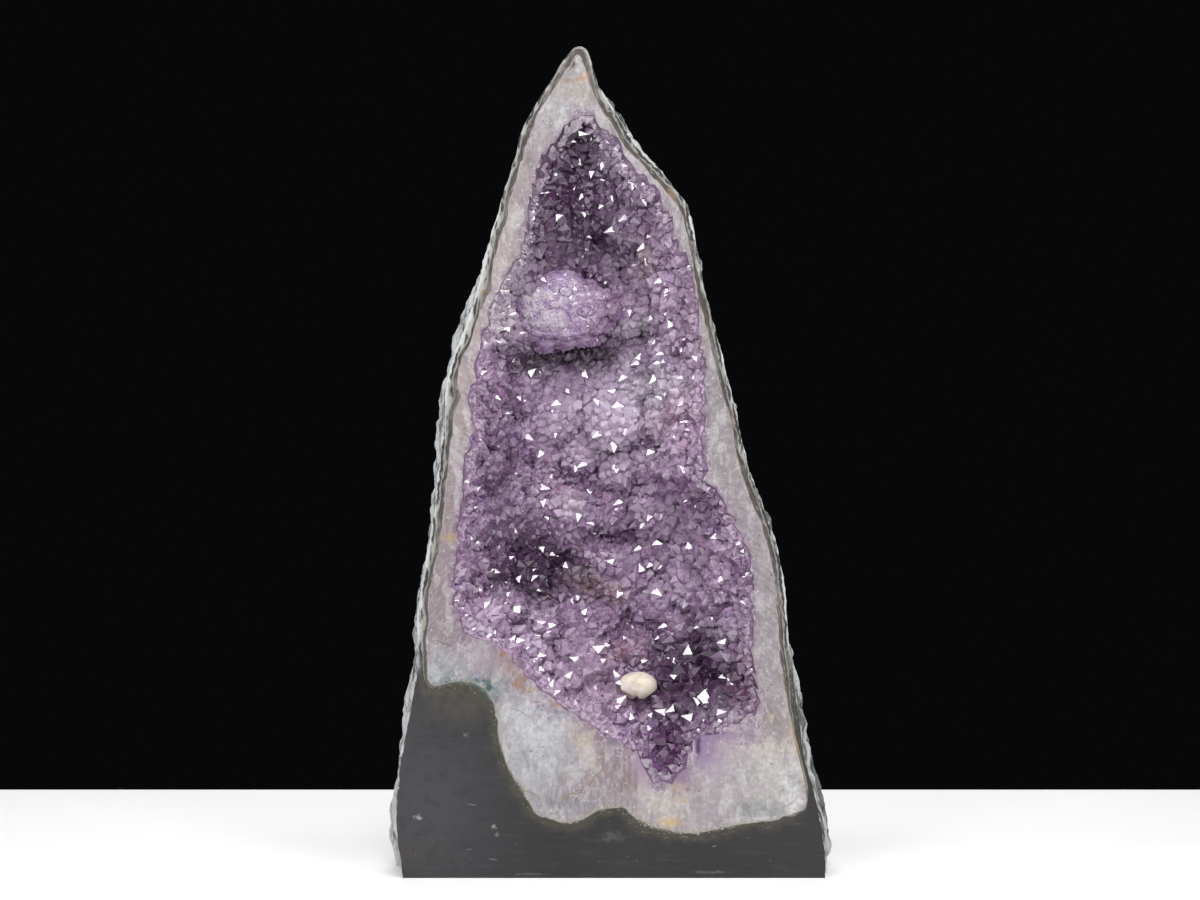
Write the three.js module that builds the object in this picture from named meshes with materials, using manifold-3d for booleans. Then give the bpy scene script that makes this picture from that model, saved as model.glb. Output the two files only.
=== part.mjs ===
// A tall amethyst geode of the kind sold as a cathedral: a lump of basalt with a crystal-lined hollow,
// sawn flat down the front to open the hollow and sawn flat across the foot so that it stands.
// Millimetres, +Z up. The sawn front faces -Y. The origin is the middle of the footprint, on the floor.
import * as THREE from 'three';
import { mergeVertices } from 'three/addons/utils/BufferGeometryUtils.js';
import Module from 'manifold-3d';

// Driving sizes
const stoneHeight = 420;
const crust = 1.6; // basalt left outside the agate where the saw passes
const agateThick = 2.8; // the grey band round the hollow
const agateFoot = 1.3; // the same band where the hollow meets the thick foot
const agateFootTop = 96; // the band is thin below this height
const seam = 0.3; // clearance kept between neighbouring minerals
const crystalCrust = 7; // depth of the amethyst points, root to tip
const hollowShare = 0.66; // depth of the whole hollow, as a share of the stone's depth there
const druseShare = 0.53; // depth of the quartz surface that the points grow from
const widestShare = 0.33; // how far behind the saw cut the stone is widest
const sawRun = 20; // how far the cutting shapes stand out in front of the saw plane

// Depth of the stone from the sawn face to its back, at a few heights
const depthAtHeight = [[-60, 146], [0, 150], [100, 150], [200, 129], [300, 94], [360, 64], [400, 36], [stoneHeight, 17]];

// Outlines are [x, z], anticlockwise as the sawn front is looked at, starting from the foot's right corner.
// The rim: where the saw plane meets the outside of the stone.
const rim = [
  [106, -60], [111, -20], [109.5, 0], [107.5, 17], [104, 39], [97.5, 62], [92.5, 95], [90, 120], [88.5, 142],
  [86, 161], [82, 176], [73.5, 196], [68, 217], [62, 243], [56, 267], [48, 298], [42, 330], [38, 341],
  [28, 354], [15, 366], [2, 386], [-5.5, 400], [-8.5, 411], [-11, 418], [-15, stoneHeight], [-20, 417],
  [-27, 406], [-36, 392], [-44, 377], [-48, 362], [-53, 346], [-60, 320], [-63, 308], [-67, 291], [-74, 271],
  [-81, 251], [-82, 234], [-85, 208], [-88, 180], [-93, 154], [-96, 130], [-95, 106], [-102, 72],
  [-106, 44], [-106, 19], [-103, 0], [-104, -20], [-100, -60],
];
// The girth: the stone's outline where it is widest, behind the saw plane.
const girth = [
  [108, -60], [112, -20], [114, 2], [116, 12], [115, 29], [112, 45], [108, 66], [102, 90], [96, 119], [92, 145],
  [88, 165], [79, 193], [71, 217], [65, 241], [58, 270], [50, 300], [44, 328], [41, 340],
  [30, 356], [20, 370], [6, 389], [-3.5, 402], [-8, 411], [-11, 417], [-15, 419], [-20, 416],
  [-27.5, 406], [-36.5, 393], [-45, 377], [-49, 362], [-55, 346], [-64, 318], [-70, 302], [-76, 287], [-84, 268],
  [-87, 252], [-90, 228], [-92, 198], [-96, 168], [-99, 152], [-102, 134], [-104, 106], [-109, 78],
  [-113, 42], [-116, 14], [-112, 1], [-110, -20], [-102, -60],
];
// The foot line: the top of the solid basalt, which the lining stands on, from left to right.
const footLine = [
  [-92.5, 95], [-80, 97], [-70, 98], [-61, 92], [-57.5, 80], [-56, 68], [-52, 55], [-44, 44], [-41.5, 36], [-35, 30],
  [-24, 27], [-14, 28], [-5, 34], [8, 33.5], [17, 27], [28, 23], [42, 21.5], [58, 24], [76, 28], [99, 32],
];
// The crystal line: where the milky quartz gives way to amethyst points, from the low notch upwards.
const crystalLine = [
  [29, 47], [36, 53], [41, 62], [47, 75], [60, 76], [72, 82], [77, 88], [72, 100], [70, 116], [73, 140], [70, 160],
  [65, 176], [58, 188], [50.5, 200], [47.5, 216], [48, 240], [47.5, 268], [42, 298], [33, 326], [23.5, 346],
  [6.5, 366], [-7, 382], [-14, 384], [-23, 377], [-31, 367], [-38, 355], [-41, 340], [-41, 324], [-49, 307],
  [-58, 290], [-64, 273], [-69, 248], [-70, 226], [-74, 195], [-76, 170], [-79, 144], [-76, 130], [-65, 122],
  [-53, 115], [-43, 103], [-23, 88], [-8, 75], [7, 69], [17, 57], [23, 48.5],
];

const wasm = await Module();
wasm.setup();

const mix = THREE.MathUtils.lerp;
const clamp = THREE.MathUtils.clamp;

function stoneDepth(z) {
  const above = depthAtHeight.findIndex(([height]) => height >= z);
  if (above < 1) return depthAtHeight[above < 0 ? depthAtHeight.length - 1 : 0][1];
  const [lowZ, lowDepth] = depthAtHeight[above - 1];
  const [highZ, highDepth] = depthAtHeight[above];
  return mix(lowDepth, highDepth, THREE.MathUtils.smoothstep(z, lowZ, highZ) * 0.3 + 0.7 * (z - lowZ) / (highZ - lowZ));
}

// Smooth waves that stand in for a rough surface, from -1 to 1
function waves(x, y, z, size) {
  const k = (2 * Math.PI) / size;
  return (
    Math.sin(k * (x + 0.6 * z) + 1.7) * Math.cos(k * (0.8 * z - 0.4 * y) + 0.3) +
    Math.sin(k * (1.3 * y - 0.5 * x) + 4.1) * Math.cos(k * (0.9 * x + 0.7 * y + 0.2 * z) + 2.2)
  ) / 2;
}

// Places along a closed curve through an outline's points, closer together where the points are
function spaced(points, count) {
  const places = points.map(([x, z]) => new THREE.Vector3(x, 0, z));
  const curve = new THREE.CatmullRomCurve3(places, true, 'centripetal');
  return Array.from({ length: count }, (_, i) => {
    const p = curve.getPoint(i / count);
    return [p.x, p.z];
  });
}

// Moves an anticlockwise outline inwards by a distance that may change with height
function inset(outline, distance) {
  return outline.map(([x, z], i) => {
    const [ax, az] = outline.at(i - 1);
    const [bx, bz] = outline[(i + 1) % outline.length];
    const along = Math.hypot(bx - ax, bz - az);
    const d = typeof distance === 'function' ? distance(z) : distance;
    return [x - ((bz - az) / along) * d, z + ((bx - ax) / along) * d];
  });
}

// How an outline closes in on a heart as it goes back into the stone: share is 1 on the outline and 0 at
// the heart. Its bends fade on the way, until it is a plain oval.
const hollowHeart = { x: -6, z: 205, wide: 66, tall: 168 };
const stoneHeart = { x: 0, z: 150, wide: 100, tall: 230 };

function closedIn([x, z], share, heart) {
  const angle = Math.atan2((z - heart.z) / heart.tall, (x - heart.x) / heart.wide);
  const kept = share ** 2;
  const acrossHere = mix(heart.wide * Math.cos(angle), x - heart.x, kept);
  const upHere = mix(heart.tall * Math.sin(angle), z - heart.z, kept);
  return [heart.x + acrossHere * share, heart.z + upHere * share];
}

// A closed shape from a sphere whose equator is stretched onto an outline: place(u, v) gives each point,
// u running round the outline and v from the back pole to the front pole.
function stretched(around, rows, place) {
  const geometry = new THREE.SphereGeometry(1, around, rows);
  const { position, uv } = geometry.attributes;
  for (let i = 0; i < position.count; i++) {
    const row = Math.round((1 - uv.getY(i)) * rows);
    const atPole = row === 0 || row === rows;
    const column = atPole ? 0 : Math.round((1 - uv.getX(i)) * around) % around;
    position.setXYZ(i, ...place(column, row / rows, atPole));
  }
  return geometry;
}

function solid(geometry) {
  const bare = geometry.index ? geometry.toNonIndexed() : geometry.clone();
  bare.deleteAttribute('normal');
  bare.deleteAttribute('uv');
  const merged = mergeVertices(bare, 1e-3);
  const vertProperties = merged.attributes.position.array;
  return new wasm.Manifold(new wasm.Mesh({ numProp: 3, vertProperties, triVerts: new Uint32Array(merged.index.array) }));
}

function block(low, high) {
  const size = high.map((value, axis) => value - low[axis]);
  const geometry = new THREE.BoxGeometry(...size);
  geometry.translate(...low.map((value, axis) => value + size[axis] / 2));
  return solid(geometry);
}

// The whole lump before sawing: y is 0 at the saw plane and grows towards the back.
function rawStone() {
  const around = 96;
  const rows = 12;
  const frontRows = 5;
  const edge = spaced(rim, around);
  const wide = spaced(girth, around);
  return solid(stretched(around, rows, (column, v, atPole) => {
    const row = Math.round(v * rows);
    if (row >= rows - frontRows) {
      // From the girth forward past the saw plane to the front pole
      const forward = (row - (rows - frontRows)) / (frontRows - 2);
      if (atPole) return [stoneHeart.x, -sawRun, stoneHeart.z];
      const x = mix(wide[column][0], edge[column][0], forward);
      const z = mix(wide[column][1], edge[column][1], forward);
      return [x, Math.max(widestShare * stoneDepth(z) * (1 - forward), -sawRun), z];
    }
    const angle = (1 - row / (rows - frontRows)) * (Math.PI / 2);
    const [x, z] = closedIn(wide[column], atPole ? 0 : Math.cos(angle), stoneHeart);
    const y = stoneDepth(z) * mix(widestShare, 1, Math.sin(angle));
    const bump = (3.6 * waves(x, 0, z, 96) + 1.2 * waves(z, 0, x, 57)) * Math.min(1, stoneDepth(z) / 80);
    return [x + (x / 90) * bump * Math.sin(2 * angle), y + bump * Math.sin(angle), z];
  }));
}

// Where the crystal lining swells out towards the front (out above 0) or draws back
const swells = [
  { x: 4, z: 228, reach: 36, out: 8 },
  { x: -12, z: 262, reach: 17, out: -4 },
  { x: 50, z: 116, reach: 24, out: -4 },
];

function swelling(x, z) {
  return swells.reduce((sum, s) => sum + s.out * Math.exp(-((x - s.x) ** 2 + (z - s.z) ** 2) / s.reach ** 2), 0);
}

// One surface of the hollow: an outline on the sawn face, and how deep it goes behind it
function hollow(outline, depth, { rows = 7, round = 3.2, lumps = 0, swollen = 0 } = {}) {
  function place(u, share) {
    const column = Math.floor(u);
    const [ax, az] = outline[column % outline.length];
    const [bx, bz] = outline[(column + 1) % outline.length];
    const [x, z] = closedIn([mix(ax, bx, u - column), mix(az, bz, u - column)], share, hollowHeart);
    const lump = lumps * waves(x, 0, z, 62) + 0.5 * lumps * waves(z, 0, x, 38) - swollen * swelling(x, z);
    return [x, depth(z) * (1 - share ** round) + lump * (1 - share ** 4), z];
  }
  return { outline, rows, place };
}

// The hollow filled in, and run out past the saw plane
function filled({ outline, rows, place }) {
  return solid(stretched(outline.length, rows, (column, v, atPole) => {
    const row = Math.round(v * rows);
    if (row < rows - 1) return place(column, Math.sin((row / (rows - 2)) * (Math.PI / 2)));
    if (atPole) return [hollowHeart.x, -sawRun, hollowHeart.z];
    return [outline[column][0], -sawRun + 1, outline[column][1]];
  }));
}

// Outlines of the mineral boundaries on the sawn face
const around = 72;
const sides = inset(rim, crust).filter(([x, z]) => (x > 0 ? z > 36 : z > 104));
const liningLine = spaced([...footLine, ...sides], around);
const agateInside = inset(liningLine, (z) => mix(agateFoot, agateThick, clamp((z - agateFootTop) / 16, 0, 1)));
const druseLine = spaced(crystalLine, around);

const liningDepth = (z) => hollowShare * stoneDepth(z);
const quartzDepth = (z) => liningDepth(z) - agateThick;
const rootDepth = (z) => druseShare * stoneDepth(z);

const liningOuter = hollow(liningLine, liningDepth);
const agateOuter = hollow(inset(liningLine, seam), (z) => liningDepth(z) - seam);
const agateInner = hollow(agateInside, quartzDepth);
const quartzOuter = hollow(inset(agateInside, seam), (z) => quartzDepth(z) - seam);
const quartzInner = hollow(druseLine, rootDepth);
const druseOuter = hollow(inset(druseLine, seam), (z) => rootDepth(z) - seam);
const tipLine = inset(druseLine, 0.6 * crystalCrust);
const tips = hollow(tipLine, (z) => rootDepth(z) - crystalCrust, { rows: 8, lumps: 2.4, swollen: 1 });

const behindSaw = block([-200, 0, -80], [200, 220, 460]);
const aboveFoot = block([-200, -60, 0], [200, 220, 460]);

function basaltMatrix() {
  return rawStone().intersect(behindSaw).intersect(aboveFoot).subtract(filled(liningOuter));
}

function agateBand() {
  return filled(agateOuter).intersect(behindSaw).subtract(filled(agateInner));
}

function milkyQuartz() {
  return filled(quartzOuter).intersect(behindSaw).subtract(filled(quartzInner));
}

// Where a point grows: a place on the tip surface and the way out of the wall there
function growth(u, share) {
  const here = new THREE.Vector3(...tips.place(u, share));
  const beside = new THREE.Vector3(...tips.place(u + 0.2, share)).sub(here);
  const deeper = new THREE.Vector3(...tips.place(u, share - 0.02)).sub(here);
  const way = beside.cross(deeper).normalize();
  return { here, way: way.y > 0 ? way.negate() : way };
}

const knob = { x: -21.5, y: 27, z: 288, across: 25.5, high: 20, deep: 19 };

function stalactiteKnob() {
  const geometry = new THREE.IcosahedronGeometry(1, 2);
  const { position } = geometry.attributes;
  for (let i = 0; i < position.count; i++) {
    const way = new THREE.Vector3().fromBufferAttribute(position, i).normalize();
    const lobe = 1 + 0.07 * waves(way.x, way.y, way.z, 1.1);
    position.setXYZ(i, knob.x + way.x * knob.across * lobe, knob.y + way.y * knob.deep * lobe, knob.z + way.z * knob.high * lobe);
  }
  return solid(geometry);
}

// The points stand in a spiral that spreads them evenly from the deepest wall out to the sawn face
function amethystDruse() {
  const points = 46;
  const golden = (Math.sqrt(5) - 1) / 2;
  const up = new THREE.Vector3(0, 1, 0);
  const rooted = 3.5;
  let bed = filled(druseOuter).subtract(filled(tips)).add(stalactiteKnob());
  for (let i = 0; i < points; i++) {
    const { here, way } = growth(((i * golden) % 1) * around, mix(0.06, 0.95, (i + 0.5) / points));
    const lowRight = clamp((130 - here.z) / 60, 0, 1) * clamp((here.x + 10) / 40, 0, 1);
    const radius = mix(8, 10.5, lowRight) * (1 + 0.25 * Math.sin(i * 2.4));
    const lean = new THREE.Vector3(Math.sin(i * 1.9), 0, Math.cos(i * 3.1)).multiplyScalar(0.22);
    const point = new THREE.ConeGeometry(radius, radius * 1.15, 6);
    point.rotateY(i);
    point.translate(0, (radius * 1.15) / 2 - rooted, 0);
    point.applyQuaternion(new THREE.Quaternion().setFromUnitVectors(up, way.add(lean).normalize()));
    point.translate(here.x, here.y, here.z);
    bed = bed.add(solid(point));
  }
  // The largest shell alone, without the pockets sealed in between points
  const shells = bed.intersect(filled(druseOuter)).intersect(behindSaw).subtract(calciteCrystal(seam)).decompose();
  return shells.sort((a, b) => b.volume() - a.volume())[0];
}

// A lone calcite crystal, seated in the lower bank of points; grown is the clearance left round it
const calcite = { x: 14.9, y: 30, z: 94.4, across: 10.2, deep: 7.4, high: 7.5 };

function calciteCrystal(grown = 0) {
  const geometry = new THREE.IcosahedronGeometry(1, 1);
  geometry.scale(calcite.across + grown, calcite.deep + grown, calcite.high + grown);
  geometry.rotateY(0.25);
  geometry.translate(calcite.x, calcite.y, calcite.z);
  return solid(geometry);
}

function geometryOf(manifold) {
  const { vertProperties, triVerts } = manifold.getMesh();
  const geometry = new THREE.BufferGeometry();
  geometry.setAttribute('position', new THREE.BufferAttribute(new Float32Array(vertProperties), 3));
  geometry.setIndex(new THREE.BufferAttribute(new Uint32Array(triVerts), 1));
  return geometry;
}

const minerals = [
  ['basalt_matrix', basaltMatrix(), { color: 0x44454a, roughness: 0.85 }],
  ['agate_band', agateBand(), { color: 0x77716f, roughness: 0.35 }],
  ['milky_quartz', milkyQuartz(), { color: 0xc9c2cc, roughness: 0.3 }],
  ['amethyst_druse', amethystDruse(), { color: 0x7d5f96, roughness: 0.15 }],
  ['calcite_crystal', calciteCrystal(), { color: 0xe6dccb, roughness: 0.4 }],
];

const geode = new THREE.Group();
for (const [name, body, finish] of minerals) {
  const mesh = new THREE.Mesh(geometryOf(body), new THREE.MeshStandardMaterial({ ...finish, metalness: 0 }));
  mesh.name = name;
  geode.add(mesh);
}

// The origin goes to the middle of the footprint
const extent = new THREE.Box3().setFromObject(geode);
const middle = extent.getCenter(new THREE.Vector3());
geode.position.set(-middle.x, -middle.y, -extent.min.z);

export default geode;
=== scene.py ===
import math

import bmesh
import bpy
import numpy as np
from mathutils import Matrix, Vector, kdtree


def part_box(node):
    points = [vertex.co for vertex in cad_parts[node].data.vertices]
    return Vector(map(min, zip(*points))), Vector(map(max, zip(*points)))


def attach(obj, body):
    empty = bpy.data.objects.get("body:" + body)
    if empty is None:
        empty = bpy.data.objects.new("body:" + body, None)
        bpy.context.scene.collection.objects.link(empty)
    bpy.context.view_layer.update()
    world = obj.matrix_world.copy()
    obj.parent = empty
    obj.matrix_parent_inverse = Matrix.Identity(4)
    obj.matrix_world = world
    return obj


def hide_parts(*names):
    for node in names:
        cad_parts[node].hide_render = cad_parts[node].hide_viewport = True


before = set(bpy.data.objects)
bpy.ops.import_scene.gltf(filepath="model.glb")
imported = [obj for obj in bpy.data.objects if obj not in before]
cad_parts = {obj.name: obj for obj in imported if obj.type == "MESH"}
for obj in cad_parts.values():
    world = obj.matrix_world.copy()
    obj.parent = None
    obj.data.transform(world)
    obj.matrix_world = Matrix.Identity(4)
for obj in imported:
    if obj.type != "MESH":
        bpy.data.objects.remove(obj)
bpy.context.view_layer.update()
print("frame loaded:", ", ".join(sorted(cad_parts)))

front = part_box("basalt_matrix")[0].y  # the sawn face, which looks along -Y
millimetre = 0.001
hairsBreadth = 0.0001  # kept between two pieces that touch


# small helpers

def onlySelect(piece):
    for other in bpy.context.selected_objects:
        other.select_set(False)
    piece.select_set(True)
    bpy.context.view_layer.objects.active = piece


def newObject(name, data):
    made = bpy.data.objects.new(name, data)
    bpy.context.scene.collection.objects.link(made)
    return made


def roundBall(name, subdivisions):
    # a fine ball of radius 1, and the way from its middle to each of its points
    bpy.ops.mesh.primitive_ico_sphere_add(subdivisions=subdivisions, radius=1, location=(0, 0, 0))
    piece = bpy.context.object
    piece.name = name
    piece.data.name = name
    return piece, meshArray(piece)


def editWhole(piece, operator, **settings):
    onlySelect(piece)
    bpy.ops.object.mode_set(mode="EDIT")
    bpy.ops.mesh.select_all(action="SELECT")
    operator(**settings)
    bpy.ops.object.mode_set(mode="OBJECT")


def smoothBelow(piece, degrees):
    onlySelect(piece)
    bpy.ops.object.shade_smooth_by_angle(angle=math.radians(degrees))


def applyModifier(piece, kind, **settings):
    onlySelect(piece)
    modifier = piece.modifiers.new(kind.lower(), kind)
    for name, value in settings.items():
        setattr(modifier, name, value)
    bpy.ops.object.modifier_apply(modifier=modifier.name)


def meshArray(piece):
    values = np.empty(len(piece.data.vertices) * 3)
    piece.data.vertices.foreach_get("co", values)
    return values.reshape(-1, 3)


def putBack(piece, places):
    piece.data.vertices.foreach_set("co", np.asarray(places, float).ravel())
    piece.data.update()


def pointValues(piece, name, values):
    values = np.asarray(values, np.float32)
    kind = "FLOAT_VECTOR" if values.ndim == 2 else "FLOAT"
    field = "vector" if values.ndim == 2 else "value"
    attribute = piece.data.attributes.new(name, kind, "POINT")
    attribute.data.foreach_set(field, values.ravel())


def smoothStep(value, low, high):
    t = np.clip((value - low) / (high - low), 0, 1)
    return t * t * (3 - 2 * t)


def unitRows(values):
    return values / np.linalg.norm(values, axis=1)[:, None]


def closeTo(x, z, spotX, spotZ, reach):
    # 1 on a spot, and softly less away from it
    return np.exp(-((x - spotX) ** 2 + (z - spotZ) ** 2) / reach ** 2)


def finishPiece(piece, nodeName, material):
    piece.data.materials.clear()
    piece.data.materials.append(material)
    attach(piece, "root")
    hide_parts(nodeName)
    print("made", piece.name, len(piece.data.polygons), "faces")


# camera, floor and lights

view = {
    "distance": 1.5,  # from the sawn face
    "height": 0.2157,
    "aside": -0.0045,
    "lens": 89.3,
    "floorBehind": 0.39,  # how far the floor runs on behind the sawn face
    "floorBefore": 1.6,
    "floorWide": 3.0,
}

camera = newObject("camera", bpy.data.cameras.new("camera"))
camera.location = (view["aside"], front - view["distance"], view["height"])
camera.rotation_euler = (math.radians(90), 0, 0)
camera.data.lens = view["lens"]
camera.data.clip_start = 0.05
bpy.context.scene.camera = camera

bpy.ops.mesh.primitive_plane_add(size=1)
floor = bpy.context.object
floor.name = "floor"
floorFront = front - view["floorBefore"]
floorBack = front + view["floorBehind"]
floor.data.transform(
    Matrix.Translation((0, (floorFront + floorBack) / 2, 0))
    @ Matrix.Diagonal((view["floorWide"], floorBack - floorFront, 1, 1))
)

world = bpy.data.worlds.new("plainRoom")
bpy.context.scene.world = world
world.use_nodes = True
background = world.node_tree.nodes["Background"].inputs
background["Color"].default_value = (0.0025, 0.0025, 0.003, 1)
background["Strength"].default_value = 1.0

lightAim = Vector((0, 0, 0.2))
softBoxes = {  # place, size and power; the small ones make the glints
    "boxAbove": {"place": (0.0, -0.55, 1.15), "size": (1.7, 1.2), "power": 13.5},
    "boxLeft": {"place": (-1.2, -0.27, 0.50), "size": (0.7, 0.9), "power": 5.4},
    "boxRight": {"place": (1.2, -0.27, 0.55), "size": (0.7, 0.9), "power": 5.0},
    "boxBehind": {"place": (0.0, 1.3, 0.9), "size": (1.0, 0.7), "power": 9},
    "glintLeft": {"place": (-0.55, -1.25, 0.85), "size": (0.28, 0.28), "power": 4.2},
    "glintRight": {"place": (0.60, -1.20, 0.70), "size": (0.28, 0.28), "power": 4.2},
    "glintAbove": {"place": (0.05, -0.85, 1.25), "size": (0.28, 0.28), "power": 4.2},
}
for name, box in softBoxes.items():
    light = bpy.data.lights.new(name, "AREA")
    light.shape = "RECTANGLE"
    light.size, light.size_y = box["size"]
    light.energy = box["power"]
    lamp = newObject(name, light)
    lamp.location = box["place"]
    lamp.rotation_euler = (lightAim - lamp.location).to_track_quat("-Z", "Y").to_euler()

bpy.context.scene.view_settings.view_transform = "Standard"
print("camera, floor and lights are set")


# the outlines that the minerals share

# where every outline of the hollow closes in
heart = {"x": -0.006, "z": 0.205, "wide": 0.066, "tall": 0.168}
columns = 1440
turn = np.arange(columns) * 2 * np.pi / columns
depthAtHeight = np.array([[-60, 146], [0, 150], [100, 150], [200, 129], [300, 94], [360, 64], [400, 36],
                          [420, 17]]) * millimetre
hollow = {"lining": 0.66, "roots": 0.53, "quartz": 0.0028}  # depths as shares of the stone's, and in metres


def stoneDepth(z):
    low = np.clip(np.searchsorted(depthAtHeight[:, 0], z) - 1, 0, len(depthAtHeight) - 2)
    t = np.clip((z - depthAtHeight[low, 0]) / (depthAtHeight[low + 1, 0] - depthAtHeight[low, 0]), 0, 1)
    bend = 0.7 * t + 0.3 * t * t * (3 - 2 * t)
    return depthAtHeight[low, 1] + (depthAtHeight[low + 1, 1] - depthAtHeight[low, 1]) * bend


def sawnLoops(nodeName):
    # the edges between a node's sawn front and its other faces, as closed runs of x, z, the widest first
    mesh = bmesh.new()
    mesh.from_mesh(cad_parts[nodeName].data)
    bmesh.ops.remove_doubles(mesh, verts=mesh.verts, dist=1e-6)
    mesh.normal_update()
    isFront = {f for f in mesh.faces if all(abs(v.co.y - front) < 2e-5 for v in f.verts)}
    beside = {}
    for edge in mesh.edges:
        if sum(f in isFront for f in edge.link_faces) == 1:
            a, b = edge.verts
            beside.setdefault(a, []).append(b)
            beside.setdefault(b, []).append(a)
    loops = []
    while beside:
        start = next(iter(beside))
        run = [start]
        while beside.get(run[-1]):
            here = run[-1]
            onward = beside[here].pop()
            beside[onward].remove(here)
            if onward is start:
                break
            run.append(onward)
        for v in [v for v, others in beside.items() if not others]:
            del beside[v]
        loops.append(np.array([(v.co.x, v.co.z) for v in run]))
    mesh.free()
    loops = [run for run in loops if len(run) > 8]
    return sorted(loops, key=lambda run: -np.ptp(run[:, 0]) * np.ptp(run[:, 1]))


def softened(values, width):
    reach = int(3 * width)
    weights = np.exp(-0.5 * (np.arange(-reach, reach + 1) / width) ** 2)
    padded = np.concatenate([values[-reach:], values, values[:reach]])
    return np.convolve(padded, weights / weights.sum(), "valid")


def outlineShare(run, width=4):
    # an outline as its distance from the heart in each direction, where 1 is on the heart's own oval
    closed = np.vstack([run, run[:1]])
    dense = np.concatenate([
        np.linspace(a, b, 24, endpoint=False) for a, b in zip(closed[:-1], closed[1:])
    ])
    across = (dense[:, 0] - heart["x"]) / heart["wide"]
    up = (dense[:, 1] - heart["z"]) / heart["tall"]
    angle = np.arctan2(up, across) % (2 * np.pi)
    order = np.argsort(angle)
    share = np.interp(turn, angle[order], np.hypot(across, up)[order], period=2 * np.pi)
    return softened(share, width)


def onFace(share):
    # x, z of an outline on the sawn face
    return np.stack([heart["x"] + heart["wide"] * np.cos(turn) * share,
                     heart["z"] + heart["tall"] * np.sin(turn) * share], 1)


def shareStep(share):
    # how much an outline's share changes for one metre of room, in each direction
    x, z = onFace(share).T
    reach = np.hypot(x - heart["x"], z - heart["z"]) / share
    run = np.roll(onFace(share), -1, 0) - np.roll(onFace(share), 1, 0)
    out = unitRows(np.stack([x - heart["x"], z - heart["z"]], 1))
    along = unitRows(run)
    square = np.abs(out[:, 0] * along[:, 1] - out[:, 1] * along[:, 0])
    return 1 / (reach * np.clip(square, 0.45, 1))


def lengthAlong(share):
    steps = np.linalg.norm(np.roll(onFace(share), -1, 0) - onFace(share), axis=1)
    return np.concatenate([[0], np.cumsum(steps)[:-1]]), steps.sum()


def wobble(share, seed, waves):
    # uneven give along an outline: waves is a list of (wavelength, height) in metres
    rng = np.random.default_rng(seed)
    along, total = lengthAlong(share)
    give = np.zeros(columns)
    for wavelength, height in waves:
        count = max(3, int(total / wavelength * 2))
        knots = rng.normal(0, 1, count)
        give += height * softened(np.interp(along / total * count, np.arange(count), knots, period=count),
                                  max(1.0, columns / count / 3))
    return give


# places of the sawn face where the stone bulges into the lining: x, z, how far and how wide
dents = [(-0.060, 0.300, 0.0026, 0.0045), (-0.0775, 0.2437, 0.0026, 0.0050), (-0.069, 0.270, 0.0012, 0.004),
         (-0.048, 0.336, 0.0012, 0.005), (0.066, 0.262, 0.0014, 0.006), (0.090, 0.150, 0.0013, 0.006),
         (-0.090, 0.165, 0.0014, 0.006), (-0.092, 0.128, 0.0016, 0.005)]


def dented(share):
    return sum(far * closeTo(*onFace(share).T, x, z, wide) for x, z, far, wide in dents)


basaltRuns = sawnLoops("basalt_matrix")
agateRuns = sawnLoops("agate_band")
quartzRuns = sawnLoops("milky_quartz")
print("sawn outlines:", [len(run) for run in basaltRuns + agateRuns + quartzRuns])

liningShare = outlineShare(basaltRuns[1])
liningShare = liningShare + (wobble(liningShare, 3, [(0.018, 0.0006), (0.007, 0.0004), (0.003, 0.0002)])
                             - dented(liningShare)) * shareStep(liningShare)
agateInShare = outlineShare(agateRuns[1])
agateInShare = agateInShare + (wobble(agateInShare, 4, [(0.022, 0.0005), (0.006, 0.00028)])
                               - 0.8 * dented(liningShare)) * shareStep(agateInShare)
agateInShare = np.minimum(agateInShare, liningShare - 0.0007 * shareStep(liningShare))
crystalShare = outlineShare(quartzRuns[1])


def toothed(share, seed):
    # crystal points cut through by the saw: a run of uneven teeth that reach into the hollow
    rng = np.random.default_rng(seed)
    along, total = lengthAlong(share)
    teeth = np.zeros(columns)
    place = 0.0
    while place < total:
        wide = rng.uniform(0.002, 0.0105)
        tall = wide * rng.uniform(0.0, 0.36) * (rng.random() < 0.75)
        lean = rng.uniform(0.35, 0.65)
        t = (along - place) / wide
        inside = (t >= 0) & (t < 1)
        teeth[inside] = (tall * np.minimum(t / lean, (1 - t) / (1 - lean)))[inside]
        place += wide
    return teeth


quartzTeeth = toothed(crystalShare, 7)
crystalShare = crystalShare + (0.001 - quartzTeeth + wobble(
    crystalShare, 9, [(0.015, 0.0010), (0.005, 0.0004)])) * shareStep(crystalShare)


def cupPlace(share, inward, depth, angle=None):
    # a point of a hollow's surface: share is the outline's, inward runs from 1 on the face to 0 at the back
    angle = turn if angle is None else angle
    near = (1 + (share - 1) * inward ** 2) * inward
    x = heart["x"] + heart["wide"] * np.cos(angle) * near
    z = heart["z"] + heart["tall"] * np.sin(angle) * near
    y = front + depth(z) * (1 - inward ** 3.2)
    return np.stack([x, y, z], -1)


liningDepth = lambda z: hollow["lining"] * stoneDepth(z)
quartzDepth = lambda z: liningDepth(z) - hollow["quartz"]
rootDepth = lambda z: hollow["roots"] * stoneDepth(z)


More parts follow.
